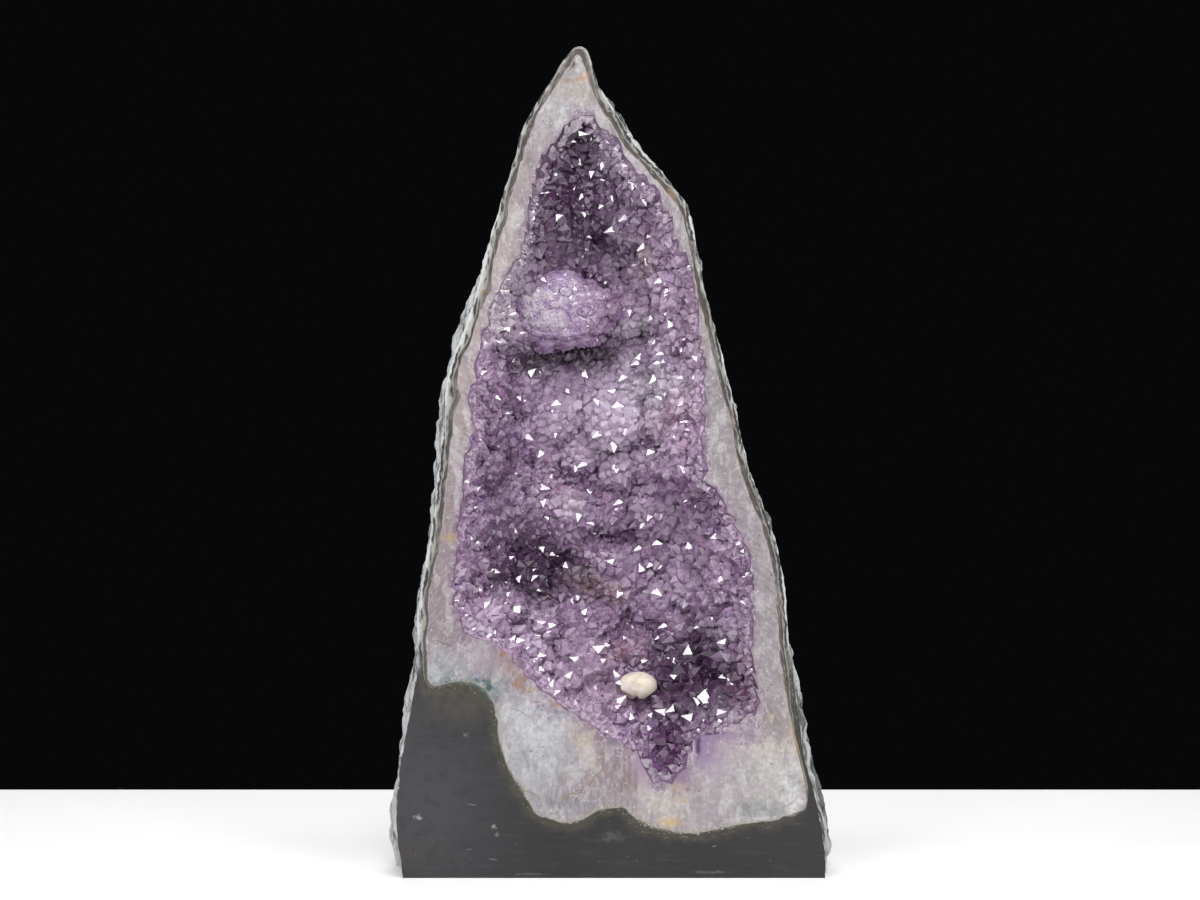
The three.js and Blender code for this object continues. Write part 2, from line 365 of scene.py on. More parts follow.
def cupSolid(name, rows, attributes=None):
    # a grid rolled up into a cup: rows run from the back outside, over the sawn face, to the back inside
    count = len(rows)
    bpy.ops.mesh.primitive_grid_add(x_subdivisions=columns, y_subdivisions=count - 1, size=2)
    piece = bpy.context.object
    piece.name = name
    piece.data.name = name
    flat = meshArray(piece)
    column = np.round((flat[:, 0] + 1) / 2 * columns).astype(int) % columns
    row = np.round((flat[:, 1] + 1) / 2 * (count - 1)).astype(int)
    putBack(piece, np.asarray(rows)[row, column])
    for key, table in (attributes or {}).items():
        pointValues(piece, key, table[row, column])
    editWhole(piece, bpy.ops.mesh.remove_doubles, threshold=1e-8)
    bpy.ops.object.mode_set(mode="EDIT")
    bpy.ops.mesh.select_all(action="DESELECT")
    bpy.ops.mesh.select_mode(type="EDGE")
    bpy.ops.mesh.select_non_manifold(extend=False, use_wire=False, use_boundary=True, use_multi_face=False,
                                     use_non_contiguous=False, use_verts=False)
    bpy.ops.mesh.edge_face_add()
    bpy.ops.object.mode_set(mode="OBJECT")
    solid = bmesh.new()
    solid.from_mesh(piece.data)
    insideOut = solid.calc_volume(signed=True) < 0
    solid.free()
    if insideOut:
        editWhole(piece, bpy.ops.mesh.flip_normals)
    return piece


def steps(count):
    # from a small ring at the back of a cup out towards its mouth
    return [0.02] + [math.sin((i + 1) / (count + 1) * math.pi / 2) for i in range(count)]


# basalt: the rind and the sawn foot

basalt = {
    "grain": 0.0021,  # edge length of the fine mesh
    "proud": 0.010,  # run-out past the saw cuts before they are made
    "tile": 0.003,  # of the sawn face
    "lumps": 0.0050,
    "knobs": 0.0050,
    "pits": 0.0040,
    "chips": [  # place from the sawn face and the ground, and size
        ((-0.113, 0.000, 0.001), (0.006, 0.006, 0.007)),
        ((0.113, 0.001, 0.000), (0.005, 0.006, 0.006)),
        ((-0.098, -0.002, 0.108), (0.003, 0.005, 0.003)),
        ((0.104, 0.001, 0.152), (0.004, 0.006, 0.009)),
        ((-0.108, 0.002, 0.050), (0.003, 0.006, 0.008)),
    ],
    "slits": [  # thin gas holes in the foot: x, z, length and tilt
        (-0.069, 0.037, 0.0048, 6), (-0.070, 0.0145, 0.0050, -4), (-0.0585, 0.0095, 0.0056, 8),
        (0.020, 0.022, 0.0030, 20), (0.053, 0.016, 0.0026, -10),
    ],
}


def liningPlug(name, grow, runOut):
    # the hollow's whole lining as one closed block that stands out in front of the sawn face
    wider = liningShare + grow * shareStep(liningShare)
    deeper = lambda z: liningDepth(z) + grow
    rows = [cupPlace(wider, inward, deeper) for inward in steps(9)]
    mouth = cupPlace(wider, 1.0, deeper)
    rows += [mouth, mouth - np.array([0, runOut, 0])]
    return cupSolid(name, np.array(rows))


def cutWith(piece, tool, operation):
    applyModifier(piece, "BOOLEAN", operation=operation, object=tool, solver="MANIFOLD")
    bpy.data.objects.remove(tool)


def displaceWith(piece, kind, size, strength, group, **settings):
    texture = bpy.data.textures.new(kind.lower(), kind)
    texture.noise_scale = size
    for name, value in settings.items():
        setattr(texture, name, value)
    applyModifier(piece, "DISPLACE", texture=texture, texture_coords="LOCAL", mid_level=0.5,
                  strength=strength, vertex_group=group)


def facetReach(unit, rng, count, away):
    # how far out a ball goes along each way when flat facets are cut from it
    facets = unitRows(rng.normal(0, 1, (count, 3)))
    return (away / np.maximum(unit @ facets.T, 0.05)).min(1)


def breakOut(piece, place, size, seed):
    # a rough bite out of the stone
    rng = np.random.default_rng(seed)
    tool, unit = roundBall("bite", 3)
    reach = facetReach(unit, rng, 12, 0.8)
    places = unit * np.minimum(reach, 1.1)[:, None] * np.array(size)
    putBack(tool, places + np.array(place) + np.array([0, front, 0]))
    cutWith(piece, tool, "DIFFERENCE")


def slit(piece, x, z, length, tilt):
    bpy.ops.mesh.primitive_uv_sphere_add(segments=20, ring_count=10, radius=1)
    tool = bpy.context.object
    tool.data.transform(Matrix.Translation((x, front, z)) @ Matrix.Rotation(math.radians(tilt), 4, "Y")
                        @ Matrix.Diagonal((length / 2, 0.0012, 0.00042, 1)))
    cutWith(piece, tool, "DIFFERENCE")


def edgePairs(piece):
    pairs = np.empty(len(piece.data.edges) * 2, int)
    piece.data.edges.foreach_get("vertices", pairs)
    return pairs.reshape(-1, 2)


def reliefOf(piece, rounds):
    # how far each point stands out of its surroundings, in metres
    pairs = edgePairs(piece)
    here = meshArray(piece)
    count = np.bincount(pairs.ravel(), minlength=len(here))[:, None]
    smooth = here.copy()
    for _ in range(rounds):
        total = np.zeros_like(smooth)
        for axis in range(3):
            total[:, axis] = (np.bincount(pairs[:, 0], smooth[pairs[:, 1], axis], len(here))
                              + np.bincount(pairs[:, 1], smooth[pairs[:, 0], axis], len(here)))
        smooth = 0.5 * smooth + 0.5 * total / np.maximum(count, 1)
    normal = np.empty(len(here) * 3)
    piece.data.vertices.foreach_get("normal", normal)
    return ((here - smooth) * normal.reshape(-1, 3)).sum(1)


def gridSawnFace(piece, cell):
    # the foot's sawn face in small tiles, so that a value can change across it
    mesh = bmesh.new()
    mesh.from_mesh(piece.data)
    sawn = [f for f in mesh.faces if all(abs(v.co.y - front) < 2e-6 for v in f.verts)]
    part = sawn + list({e for f in sawn for e in f.edges}) + list({v for f in sawn for v in f.verts})
    cuts = [((x, 0, 0), (1, 0, 0)) for x in np.arange(-0.114, 0.115, cell)]
    cuts += [((0, 0, z), (0, 0, 1)) for z in np.arange(cell, 0.118, cell)]
    for place, way in cuts:
        part = bmesh.ops.bisect_plane(mesh, geom=part, plane_co=place, plane_no=way, dist=1e-7)["geom"]
    mesh.to_mesh(piece.data)
    mesh.free()


def reachTo(places, outline):
    # how far each place of the sawn face is from an outline
    tree = kdtree.KDTree(len(outline))
    for i, (x, z) in enumerate(outline):
        tree.insert((x, 0, z), i)
    tree.balance()
    reach = np.full(len(places), 0.05)
    for i in np.flatnonzero(places[:, 1] < front + 1e-5):
        reach[i] = tree.find((places[i, 0], 0, places[i, 2]))[2]
    return reach


def makeBasalt():
    stone = newObject("basaltStone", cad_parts["basalt_matrix"].data.copy())
    editWhole(stone, bpy.ops.mesh.remove_doubles, threshold=1e-6)
    places = meshArray(stone)
    places[np.abs(places[:, 1] - front) < 2e-5, 1] -= basalt["proud"]
    places[np.abs(places[:, 2]) < 2e-5, 2] -= basalt["proud"]
    putBack(stone, places)
    cutWith(stone, liningPlug("filling", 0.0006, basalt["proud"] + 0.004), "UNION")
    applyModifier(stone, "REMESH", mode="VOXEL", voxel_size=basalt["grain"])
    applyModifier(stone, "SMOOTH", factor=0.5, iterations=6)
    places = meshArray(stone)
    farFromSaw = smoothStep(places[:, 1], front - 0.001, front + 0.008)
    rough = stone.vertex_groups.new(name="rough")
    tame = stone.vertex_groups.new(name="tame")
    for i, weight in enumerate(farFromSaw):
        rough.add([i], float(0.16 + 0.84 * weight), "REPLACE")
        tame.add([i], float(0.40 + 0.60 * weight), "REPLACE")
    displaceWith(stone, "CLOUDS", 0.040, basalt["lumps"], "rough", noise_depth=1)
    displaceWith(stone, "VORONOI", 0.016, basalt["knobs"], "rough", weight_1=-1.0, weight_2=1.0,
                 distance_metric="DISTANCE")
    displaceWith(stone, "CLOUDS", 0.0065, basalt["pits"], "tame", noise_depth=2)
    for i, (place, size) in enumerate(basalt["chips"]):
        breakOut(stone, place, size, i)
    for place, way in (((0, front, 0), (0, -1, 0)), ((0, 0, 0), (0, 0, -1))):
        editWhole(stone, bpy.ops.mesh.bisect, plane_co=place, plane_no=way, use_fill=True, clear_outer=True,
                  threshold=1e-6)
    cutWith(stone, liningPlug("plug", 0.0, 0.01), "DIFFERENCE")
    for x, z, length, tilt in basalt["slits"]:
        slit(stone, x, z, length, tilt)
    stone.vertex_groups.clear()
    gridSawnFace(stone, basalt["tile"])
    pointValues(stone, "contact", reachTo(meshArray(stone), onFace(liningShare)))
    pointValues(stone, "relief", reliefOf(stone, 6) / 0.0010)
    smoothBelow(stone, 34)
    return stone


stone = makeBasalt()
print("basalt stone made:", len(stone.data.polygons), "faces")


# agate and quartz: the two bands that the saw shows

def bandSolid(name, outerShare, innerShare, outerDepth, innerDepth, faceRows):
    backRows, rootRows = steps(5), steps(7)[::-1]
    rows = [cupPlace(outerShare, inward, outerDepth) for inward in backRows]
    rows += [cupPlace(outerShare + (innerShare - outerShare) * t, 1.0, outerDepth) for t in faceRows]
    rows += [cupPlace(innerShare, inward, innerDepth) for inward in rootRows]
    across = np.concatenate([np.zeros(len(backRows)), faceRows, np.ones(len(rootRows))])
    across = np.broadcast_to(across[:, None], (len(rows), columns))
    along, total = lengthAlong(innerShare)
    way = along / total * 2 * np.pi
    width = np.broadcast_to(np.linalg.norm(onFace(outerShare) - onFace(innerShare), axis=1), across.shape)
    growth = np.stack([np.broadcast_to(total / (2 * np.pi) * np.cos(way), across.shape),
                       np.broadcast_to(total / (2 * np.pi) * np.sin(way), across.shape), across * width], 2)
    piece = cupSolid(name, np.array(rows), {"across": across, "growth": growth})
    smoothBelow(piece, 32)
    return piece


agateBand = bandSolid("agateBand", liningShare - 0.00005 * shareStep(liningShare), agateInShare,
                      lambda z: liningDepth(z) - hairsBreadth, quartzDepth, [0, 0.25, 0.5, 0.75, 1])
quartzBand = bandSolid("quartzBand", agateInShare - 0.00002 * shareStep(agateInShare), crystalShare,
                       lambda z: quartzDepth(z) - hairsBreadth, rootDepth, list(np.linspace(0, 1, 15)))
print("agate and quartz made")


# the amethyst bed and its points

druse = {
    "bedUnder": 0.0052,  # from the quartz surface to the bed that the points stand on
    "clumpTries": 6000,
    "clumpSpacing": 0.0170,
    "clumpReach": (0.0100, 0.0190),
    "clumpHeight": 0.56,  # share of its reach
    "notch": (0.032, 0.056, 0.017),  # x, z and reach of the narrow notch below, where nothing swells
    "pointRadius": (0.0016, 0.0039),
    "rimRadius": (0.0010, 0.0020),
    "rimReach": 0.011,  # how far behind the saw cut the small points reach
    "hole": (-0.0195, 0.380, 0.0062, 0.020),  # x, z, reach and depth of the dark hole under the roof
    "tries": 60000,
    "spacing": 1.0,  # in point radii
    "rimSpacing": 1.3,
    "lean": 0.21,
    "rimLean": 0.35,
    "seed": 41,
    "glints": 120,  # points with a facet turned to a small light
    "rimGlints": 60,
    "bright": [  # x, z and radius of the brightest ones
        (-0.005, 0.112, 0.0056), (0.041, 0.108, 0.0050), (0.0265, 0.105, 0.0040), (0.055, 0.098, 0.0038),
        (0.051, 0.125, 0.0036), (0.031, 0.082, 0.0042), (0.043, 0.076, 0.0040), (-0.034, 0.197, 0.0036),
        (-0.008, 0.176, 0.0036), (0.021, 0.215, 0.0034), (-0.022, 0.158, 0.0036), (0.060, 0.150, 0.0034),
        (0.000, 0.330, 0.0036), (0.015, 0.342, 0.0034), (0.032, 0.330, 0.0034), (-0.014, 0.362, 0.0030),
    ],
    "grades": [  # x, z, reach across and up, and how much coarser the points are there
        (0.048, 0.105, 0.026, 0.034, 1.45), (0.030, 0.060, 0.014, 0.018, 1.1),
        (-0.004, 0.104, 0.030, 0.026, 1.2), (-0.052, 0.190, 0.022, 0.070, 0.8),
        (0.010, 0.230, 0.040, 0.032, 1.1), (0.040, 0.280, 0.020, 0.050, 1.1),
    ],
}
# x, z, reach and how far each part of the bed stands out or back
swells = [(0.004, 0.228, 0.034, 0.011), (-0.012, 0.262, 0.017, -0.004), (0.050, 0.108, 0.024, -0.004),
          (-0.036, 0.157, 0.012, -0.004), (-0.010, 0.098, 0.024, 0.006), (0.028, 0.190, 0.016, 0.005),
          (-0.020, 0.188, 0.011, 0.006), (0.040, 0.262, 0.015, 0.006), (0.014, 0.322, 0.014, 0.006),
          (0.060, 0.160, 0.015, 0.005), (0.010, 0.150, 0.015, 0.006), (-0.045, 0.225, 0.012, 0.004),
          (-0.030, 0.330, 0.010, 0.004), (0.022, 0.122, 0.012, 0.005)]


def swelling(x, z):
    return sum(out * closeTo(x, z, spotX, spotZ, reach) for spotX, spotZ, reach, out in swells)


bedShare = crystalShare - 0.0016 * shareStep(crystalShare)


def bedPlace(angle, inward):
    share = np.interp(angle, turn, bedShare, period=2 * np.pi)
    place = cupPlace(share, inward, lambda z: rootDepth(z) - druse["bedUnder"], angle)
    place[..., 1] -= swelling(place[..., 0], place[..., 2]) * (1 - inward ** 4)
    holeX, holeZ, holeWide, holeDeep = druse["hole"]
    place[..., 1] += holeDeep * closeTo(place[..., 0], place[..., 2], holeX, holeZ,
                                        holeWide) * (1 - inward ** 40)
    return place


def bedNormal(angle, inward):
    here = bedPlace(angle, inward)
    beside = bedPlace(angle + 0.004, inward) - here
    deeper = bedPlace(angle, np.maximum(inward - 0.004, 0.001)) - here
    way = unitRows(np.cross(beside, deeper))
    towards = np.array([heart["x"], front - 0.05, heart["z"]]) - here
    return way * np.where((way * towards).sum(1) < 0, -1, 1)[:, None]


def scatterOnBed(rng, count):
    # evenly over the bed's area: cells of the surface are drawn by their size
    around, back = 360, 90
    a = np.linspace(0, 2 * np.pi, around + 1)
    s = np.linspace(0.02, 1, back + 1)
    grid = bedPlace(*np.meshgrid(a, s))
    across = grid[:-1, 1:] - grid[:-1, :-1]
    down = grid[1:, :-1] - grid[:-1, :-1]
    area = np.linalg.norm(np.cross(across, down), axis=2).ravel()
    cell = rng.choice(area.size, count, p=area / area.sum())
    row, col = np.divmod(cell, around)
    return (a[col] + rng.random(count) * a[1]), (s[row] + rng.random(count) * (s[1] - s[0]))


def thinned(places, spacing):
    # keeps each place that stands far enough from those kept before it, the widest spaced first
    tree = kdtree.KDTree(len(places))
    for i, place in enumerate(places):
        tree.insert(place, i)
    tree.balance()
    widest = float(np.max(spacing))
    order = np.argsort(-spacing, kind="stable")
    gone = np.zeros(len(places), bool)
    kept = []
    for i in order:
        if gone[i]:
            continue
        kept.append(i)
        for _, j, distance in tree.find_range(places[i], 0.5 * (spacing[i] + widest)):
            if distance < 0.5 * (spacing[i] + spacing[j]):
                gone[j] = True
    return np.array(kept)


def pointMesh():
    # one six-sided point: sunk base, short prism and a tip; the tip is at height 1 over a radius of 1
    corners = [(math.cos(i * math.pi / 3), math.sin(i * math.pi / 3)) for i in range(6)]
    base = [(x * 0.9, y * 0.9, -1.6) for x, y in corners]
    shoulder = [(x, y, 0.0) for x, y in corners]
    verts = np.array(base + shoulder + [(0, 0, 1.0)])
    faces = [tuple(reversed(range(6)))]
    faces += [(i, (i + 1) % 6, 6 + (i + 1) % 6, 6 + i) for i in range(6)]
    faces += [(6 + i, 6 + (i + 1) % 6, 12) for i in range(6)]
    return verts, faces


def inTheStone(places, ways, radii):
    # points whose roots would stand in front of the saw cut are gone with the other half
    rooted = places[:, 1] - 1.9 * radii * ways[:, 1] - 0.45 * radii > front + 0.0010
    holeX, holeZ, holeWide, holeDeep = druse["hole"]
    overHole = np.hypot(places[:, 0] - holeX, (places[:, 2] - holeZ) * 0.8) < holeWide
    rooted &= ~(overHole & (places[:, 1] < front + 0.45 * holeDeep))
    proud = front - (places[:, 1] + 0.85 * radii * ways[:, 1])
    return rooted & (proud < np.where(radii > 0.0027, 0.0, 0.9 * radii))


def turnedToLight(world, places, chosen):
    # turns points about their feet until one tip facet sends a small light to the camera
    lights = [Vector(box["place"]) for name, box in softBoxes.items() if name.startswith("glint")]
    for k, i in enumerate(chosen):
        tip = Vector(world[i, 12])
        toCamera = (camera.location - tip).normalized()
        toLight = (lights[k % len(lights)] - tip).normalized()
        half = (toCamera + toLight).normalized()
        ring = world[i, 6:12]
        facets = [Vector(np.cross(onward - corner, world[i, 12] - corner)).normalized()
                  for corner, onward in zip(ring, np.roll(ring, -1, 0))]
        best = max(facets, key=lambda facet: facet.dot(half))
        turned = np.array(best.rotation_difference(half).to_matrix())
        world[i] = (world[i] - places[i]) @ turned.T + places[i]


def standPoints(name, places, ways, radii, rng, tall=(0.65, 1.05), turned=()):
    verts, faces = pointMesh()
    count = len(places)
    up = unitRows(ways)
    side = unitRows(np.cross(up, np.where(np.abs(up[:, 2:3]) < 0.9, [[0, 0, 1.0]], [[1.0, 0, 0]])))
    third = np.cross(up, side)
    spin = rng.random(count) * np.pi / 3
    sideSpun = side * np.cos(spin)[:, None] + third * np.sin(spin)[:, None]
    thirdSpun = np.cross(up, sideSpun)
    heights = radii * rng.uniform(*tall, count)
    local = np.repeat(verts[None], count, 0)
    local[:, :, 1] *= rng.uniform(0.72, 1.0, count)[:, None]
    local[:, 6:12, 2] += rng.uniform(-0.28, 0.22, (count, 6))
    local[:, 12, 0] += rng.uniform(-0.36, 0.36, count)
    local[:, 12, 1] += rng.uniform(-0.36, 0.36, count)
    local = local * np.stack([radii, radii, heights], 1)[:, None, :]
    world = (places[:, None] + local[:, :, 0:1] * sideSpun[:, None] + local[:, :, 1:2] * thirdSpun[:, None]
             + local[:, :, 2:3] * up[:, None])
    turnedToLight(world, places, turned)
    sawn = front + rng.uniform(0.00006, 0.0009, count)  # each cut point keeps its own hair's breadth
    world[:, :, 1] = np.maximum(world[:, :, 1], sawn[:, None])
    allFaces = [tuple(v + 13 * i for v in face) for i in range(count) for face in faces]
    mesh = bpy.data.meshes.new(name)
    mesh.from_pydata(world.reshape(-1, 3).tolist(), [], allFaces)
    mesh.update()
    piece = newObject(name, mesh)
    pointValues(piece, "tint", np.repeat(rng.random(count), 13))
    pointValues(piece, "tip", np.tile(np.array([0.0] * 6 + [0.6] * 6 + [1.0]), count))
    # the share of each facet's own corners, so that a finish can draw its edges
    corner = np.vstack([np.ones((30, 3)), np.tile(np.eye(3), (6, 1))])
    facet = mesh.attributes.new("facet", "FLOAT_VECTOR", "CORNER")
    facet.data.foreach_set("vector", np.tile(corner, (count, 1)).ravel())
    return piece


rng = np.random.default_rng(druse["seed"])
clumpAngle, clumpInward = scatterOnBed(rng, druse["clumpTries"])
clumpPlace = bedPlace(clumpAngle, clumpInward)
keep = thinned(clumpPlace, druse["clumpSpacing"] * rng.uniform(0.8, 1.2, len(clumpPlace)))
clumpPlace = clumpPlace[keep]
clumpWay = bedNormal(clumpAngle[keep], clumpInward[keep])
clumpReach = rng.uniform(*druse["clumpReach"], len(keep))
clumpTone = rng.random(len(keep))
print("clumps:", len(keep))


def domed(places, ways):
    # lifts places of the bed onto the rounded clumps; also gives the way out there, the clump's number
    # and how high on it each place is
    square = ((places[:, None] - clumpPlace[None]) ** 2).sum(2)
    rise = clumpReach * druse["clumpHeight"] * np.sqrt(np.maximum(0, 1 - square / clumpReach ** 2))
    owner = rise.argmax(1)
    lift = rise[np.arange(len(places)), owner]
    notchX, notchZ, notchWide = druse["notch"]
    inNotch = closeTo(places[:, 0], places[:, 2], notchX, notchZ, notchWide)
    lift = lift * (0.15 + 0.85 * smoothStep(places[:, 1] - front, 0.003, 0.018)) * (1 - 0.9 * inNotch)
    holeX, holeZ, holeWide, _ = druse["hole"]
    lift = lift * (1 - closeTo(places[:, 0], places[:, 2], holeX, holeZ, 1.5 * holeWide))
    owner = np.where(lift < 1e-9, square.argmin(1), owner)
    lifted = places + ways * lift[:, None]
    centre = clumpPlace[owner] - clumpWay[owner] * (clumpReach[owner] * 0.6)[:, None]
    way = unitRows(lifted - centre) * 0.8 + ways * 0.2
    high = lift / (clumpReach[owner] * druse["clumpHeight"])
    # near the saw cut each place counts as high, so that the finishes paint less shade there
    high = np.maximum(high, 0.55 * (1 - smoothStep(places[:, 1] - front, 0.004, 0.016)))
    return lifted, unitRows(way), owner, high


def makeBed():
    edge = crystalShare - 0.00002 * shareStep(crystalShare)
    rows = [cupPlace(edge, inward, lambda z: rootDepth(z) - hairsBreadth) for inward in steps(4)]
    rows.append(cupPlace(edge, 1.0, rootDepth))
    high = [np.zeros(columns)] * len(rows)
    for inward in np.concatenate([np.linspace(1, 0.9, 12), np.linspace(0.88, 0.02, 34)]):
        places = bedPlace(turn, np.full(columns, inward))
        lift = np.ones(columns)
        if inward < 0.999:
            places, _, _, lift = domed(places, bedNormal(turn, np.full(columns, inward)))
            places[:, 1] = np.maximum(places[:, 1], front)
        places[:, 1] += 0.0009 * smoothStep(inward, 0.7, 1.0)
        rows.append(places)
        high.append(lift)
    piece = cupSolid("druseBed", np.array(rows), {"high": np.array(high)})
    smoothBelow(piece, 40)
    return piece


druseBed = makeBed()
print("bed made:", len(druseBed.data.polygons), "faces")


def grown(places, ways, radii, spacing, lean):
    # thins places, lifts them onto the clumps, leans them and drops those that went with the other half
    keep = thinned(places, radii * spacing)
    radii = radii[keep]
    lifted, outward, owner, high = domed(places[keep], ways[keep])
    outward = unitRows(outward + rng.normal(0, lean, outward.shape))
    keep = inTheStone(lifted, outward, radii)
    return lifted[keep], outward[keep], radii[keep], owner[keep], high[keep]


angle, inward = scatterOnBed(rng, druse["tries"])
places = bedPlace(angle, inward)
coarser = np.ones(len(places))
for x, z, wide, tall, grade in druse["grades"]:
    near = np.exp(-((places[:, 0] - x) / wide) ** 2 - ((places[:, 2] - z) / tall) ** 2)
    coarser *= 1 + (grade - 1) * near * (0.35 + 0.65 * rng.random(len(places)))
small, large = druse["pointRadius"]
radii = (small + (large - small) * rng.random(len(places)) ** 2.2) * coarser
points = grown(places, bedNormal(angle, inward), radii, druse["spacing"], druse["lean"])
# a fringe of small points just behind the saw cut
angle, inward = scatterOnBed(rng, druse["tries"])
places = bedPlace(angle, inward)
nearCut = places[:, 1] < front + druse["rimReach"]
radii = rng.uniform(*druse["rimRadius"], nearCut.sum())
fringe = grown(places[nearCut], bedNormal(angle[nearCut], inward[nearCut]), radii, druse["rimSpacing"],
               druse["rimLean"])
lifted, outward, radii, owner, high = (np.concatenate(pair) for pair in zip(points, fringe))
stands = np.flatnonzero((high > 0.70) & (radii > 0.0024) & (lifted[:, 1] > front + 0.008))
brightest = []
for x, z, radius in druse["bright"]:
    i = int(np.argmin((lifted[:, 0] - x) ** 2 + (lifted[:, 2] - z) ** 2 + 0.5e-4 * (1 - high) ** 2))
    radii[i] = radius
    lifted[i] += outward[i] * 0.4 * radius
    brightest.append(i)
order = np.concatenate([brightest, rng.permutation(np.setdiff1d(stands, brightest))])
room = np.concatenate([np.full(len(brightest), 0.020),
                       rng.uniform(0.009, 0.0145, len(order) - len(brightest))])
glinting = list(order[thinned(lifted[order], room)][:druse["glints"]])
behindCut = lifted[:, 1] - front
rimPoints = np.flatnonzero((behindCut < 0.012) & (behindCut > 0.002) & (radii > 0.0016))
glinting += list(rng.choice(np.setdiff1d(rimPoints, glinting), druse["rimGlints"], replace=False))
amethystPoints = standPoints("amethystPoints", lifted, outward, radii, rng, turned=glinting)
pointValues(amethystPoints, "clump", np.repeat(clumpTone[owner], 13))
pointValues(amethystPoints, "high", np.repeat(high, 13))
print("points:", len(lifted))


# the round knob: small domes grown together, with a frill of points round its lower rim

knob = {
    "middle": (-0.0262, 0.027, 0.2890),  # from the sawn face
    "size": (0.0300, 0.0180, 0.0212),
    "balls": [  # middle and radius of the large ones, as shares of the knob's size
        (0, 0, 0, 0.80), (-0.34, -0.36, 0.10, 0.56), (0.36, -0.30, 0.04, 0.50), (0.02, -0.30, 0.42, 0.50),
        (-0.12, -0.42, -0.26, 0.46), (0.30, -0.34, -0.36, 0.38), (-0.52, -0.10, -0.22, 0.42),
        (-0.36, -0.12, 0.42, 0.46),
    ],
    "petals": 13,  # in each row round the lower rim
    # how far out and forward each row stands, and its petals' radius
    "rows": [(0.93, 0.06, 0.155), (0.82, -0.30, 0.150), (0.68, -0.52, 0.140)],
    "grains": 90,
    "grainRadius": (0.09, 0.20),
    "frillTries": 14000,
    "frillPoints": (0.0010, 0.0022),
    "frillLean": 0.25,
    "glints": 14,
    "seed": 12,
}


def spreadWays(count, rng, jitter):
    # evenly round a ball
    step = np.arange(count) + 0.5
    height = 1 - 2 * step / count
    spin = step * math.pi * (3 - math.sqrt(5))
    level = np.sqrt(1 - height ** 2)
    ways = np.stack([level * np.cos(spin), level * np.sin(spin), height], 1)
    return unitRows(ways + rng.normal(0, jitter, ways.shape))


def makeKnob():
    rng = np.random.default_rng(knob["seed"])
    piece, unit = roundBall("druseKnob", 7)
    unit = unitRows(unit)
    # large balls, rows of petals low on the rim and small grains all over
    balls = [list(ball) for ball in knob["balls"]]
    for row, (out, forward, radius) in enumerate(knob["rows"]):
        for k in range(knob["petals"]):
            bearing = math.radians(160 + 220 * (k + 0.5 * row) / knob["petals"] + rng.uniform(-5, 5))
            reach = out * rng.uniform(0.94, 1.06)
            balls.append([reach * math.cos(bearing), forward + rng.uniform(-0.05, 0.05),
                          reach * math.sin(bearing), radius * rng.uniform(0.85, 1.2)])
    for way in spreadWays(knob["grains"], rng, 0.12):
        if way[2] < -0.15 and way[1] < 0.35:
            continue
        radius = rng.uniform(*knob["grainRadius"])
        balls.append([*(way * (0.90 - radius * rng.uniform(0.75, 0.95))), radius])
    balls = np.array(balls)
    # how far out the last ball is met along each way from the middle
    along = unit @ balls[:, :3].T
    inside = along ** 2 - (balls[:, :3] ** 2).sum(1) + balls[:, 3] ** 2
    meet = np.where(inside > 0, along + np.sqrt(np.maximum(inside, 0)), 0)
    ranked = np.sort(meet, 1)
    swell = ranked[:, -1]
    joint = ranked[:, -1] - ranked[:, -2]
    middle = np.array(knob["middle"]) + np.array([0, front, 0])
    places = unit * np.array(knob["size"]) * swell[:, None] + middle
    putBack(piece, places)
    pointValues(piece, "joint", joint)
    onlySelect(piece)
    bpy.ops.object.shade_smooth()
    candidates = rng.choice(len(unit), knob["frillTries"])
    offAxis = np.hypot(unit[candidates, 0], unit[candidates, 2])
    candidates = candidates[(unit[candidates, 1] > 0.12) | ((offAxis > 0.96) & (unit[candidates, 2] < 0.2))
                            | (rng.random(len(candidates)) < 0.012 + 0.05 * (unit[candidates, 0] > 0.15))]
    radii = rng.uniform(*knob["frillPoints"], len(candidates))
    keep = thinned(places[candidates], radii)
    chosen = candidates[keep]
    way = unitRows(unit[chosen] / np.array(knob["size"]))
    way = unitRows(way + rng.normal(0, knob["frillLean"], way.shape))
    facing = np.flatnonzero((unit[chosen, 1] < -0.5) & (unit[chosen, 0] > -0.1))
    sunk = places[chosen] - way * 0.4 * radii[keep][:, None]
    points = standPoints("knobPoints", sunk, way, radii[keep], rng, tall=(0.5, 0.9),
                         turned=facing[:knob["glints"]])
    return piece, points


druseKnob, knobPoints = makeKnob()
print("knob made:", len(knobPoints.data.polygons), "faces")


# calcite crystal

def makeCalcite():
    low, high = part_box("calcite_crystal")
    piece, unit = roundBall("calciteCrystal", 5)
    reach = np.minimum(facetReach(unit, np.random.default_rng(5), 22, 0.88), 1.02)
    # the bite below, a little left of the middle
    bite = np.exp(-((unit[:, 0] + 0.10) / 0.13) ** 2 - ((unit[:, 2] + 0.95) / 0.30) ** 2)
    reach = reach * (1 - 0.24 * bite)
    putBack(piece, unit * reach[:, None] * np.array(high - low) / 2 + np.array((low + high) / 2))
    smoothBelow(piece, 18)
    return piece


calciteCrystal = makeCalcite()


# the patterns that the finishes share, each a node group with its own sockets

def node(tree, kind, links=None, **settings):
    made = tree.nodes.new("ShaderNode" + kind)
    for name, value in settings.items():
        setattr(made, name, value)
    for socket, value in (links or {}).items():
        if isinstance(value, bpy.types.NodeSocket):
            tree.links.new(value, made.inputs[socket])
        else:
            made.inputs[socket].default_value = value
    return made


def nodeWith(kind, links, **settings):
    # a node in the tree that its links come from
    tree = next(value.id_data for value in links.values() if isinstance(value, bpy.types.NodeSocket))
    return node(tree, kind, links, **settings)


def maths(operation, *values):
    return nodeWith("Math", dict(enumerate(values)), operation=operation).outputs[0]


def plus(*values):
    return maths("ADD", *values)


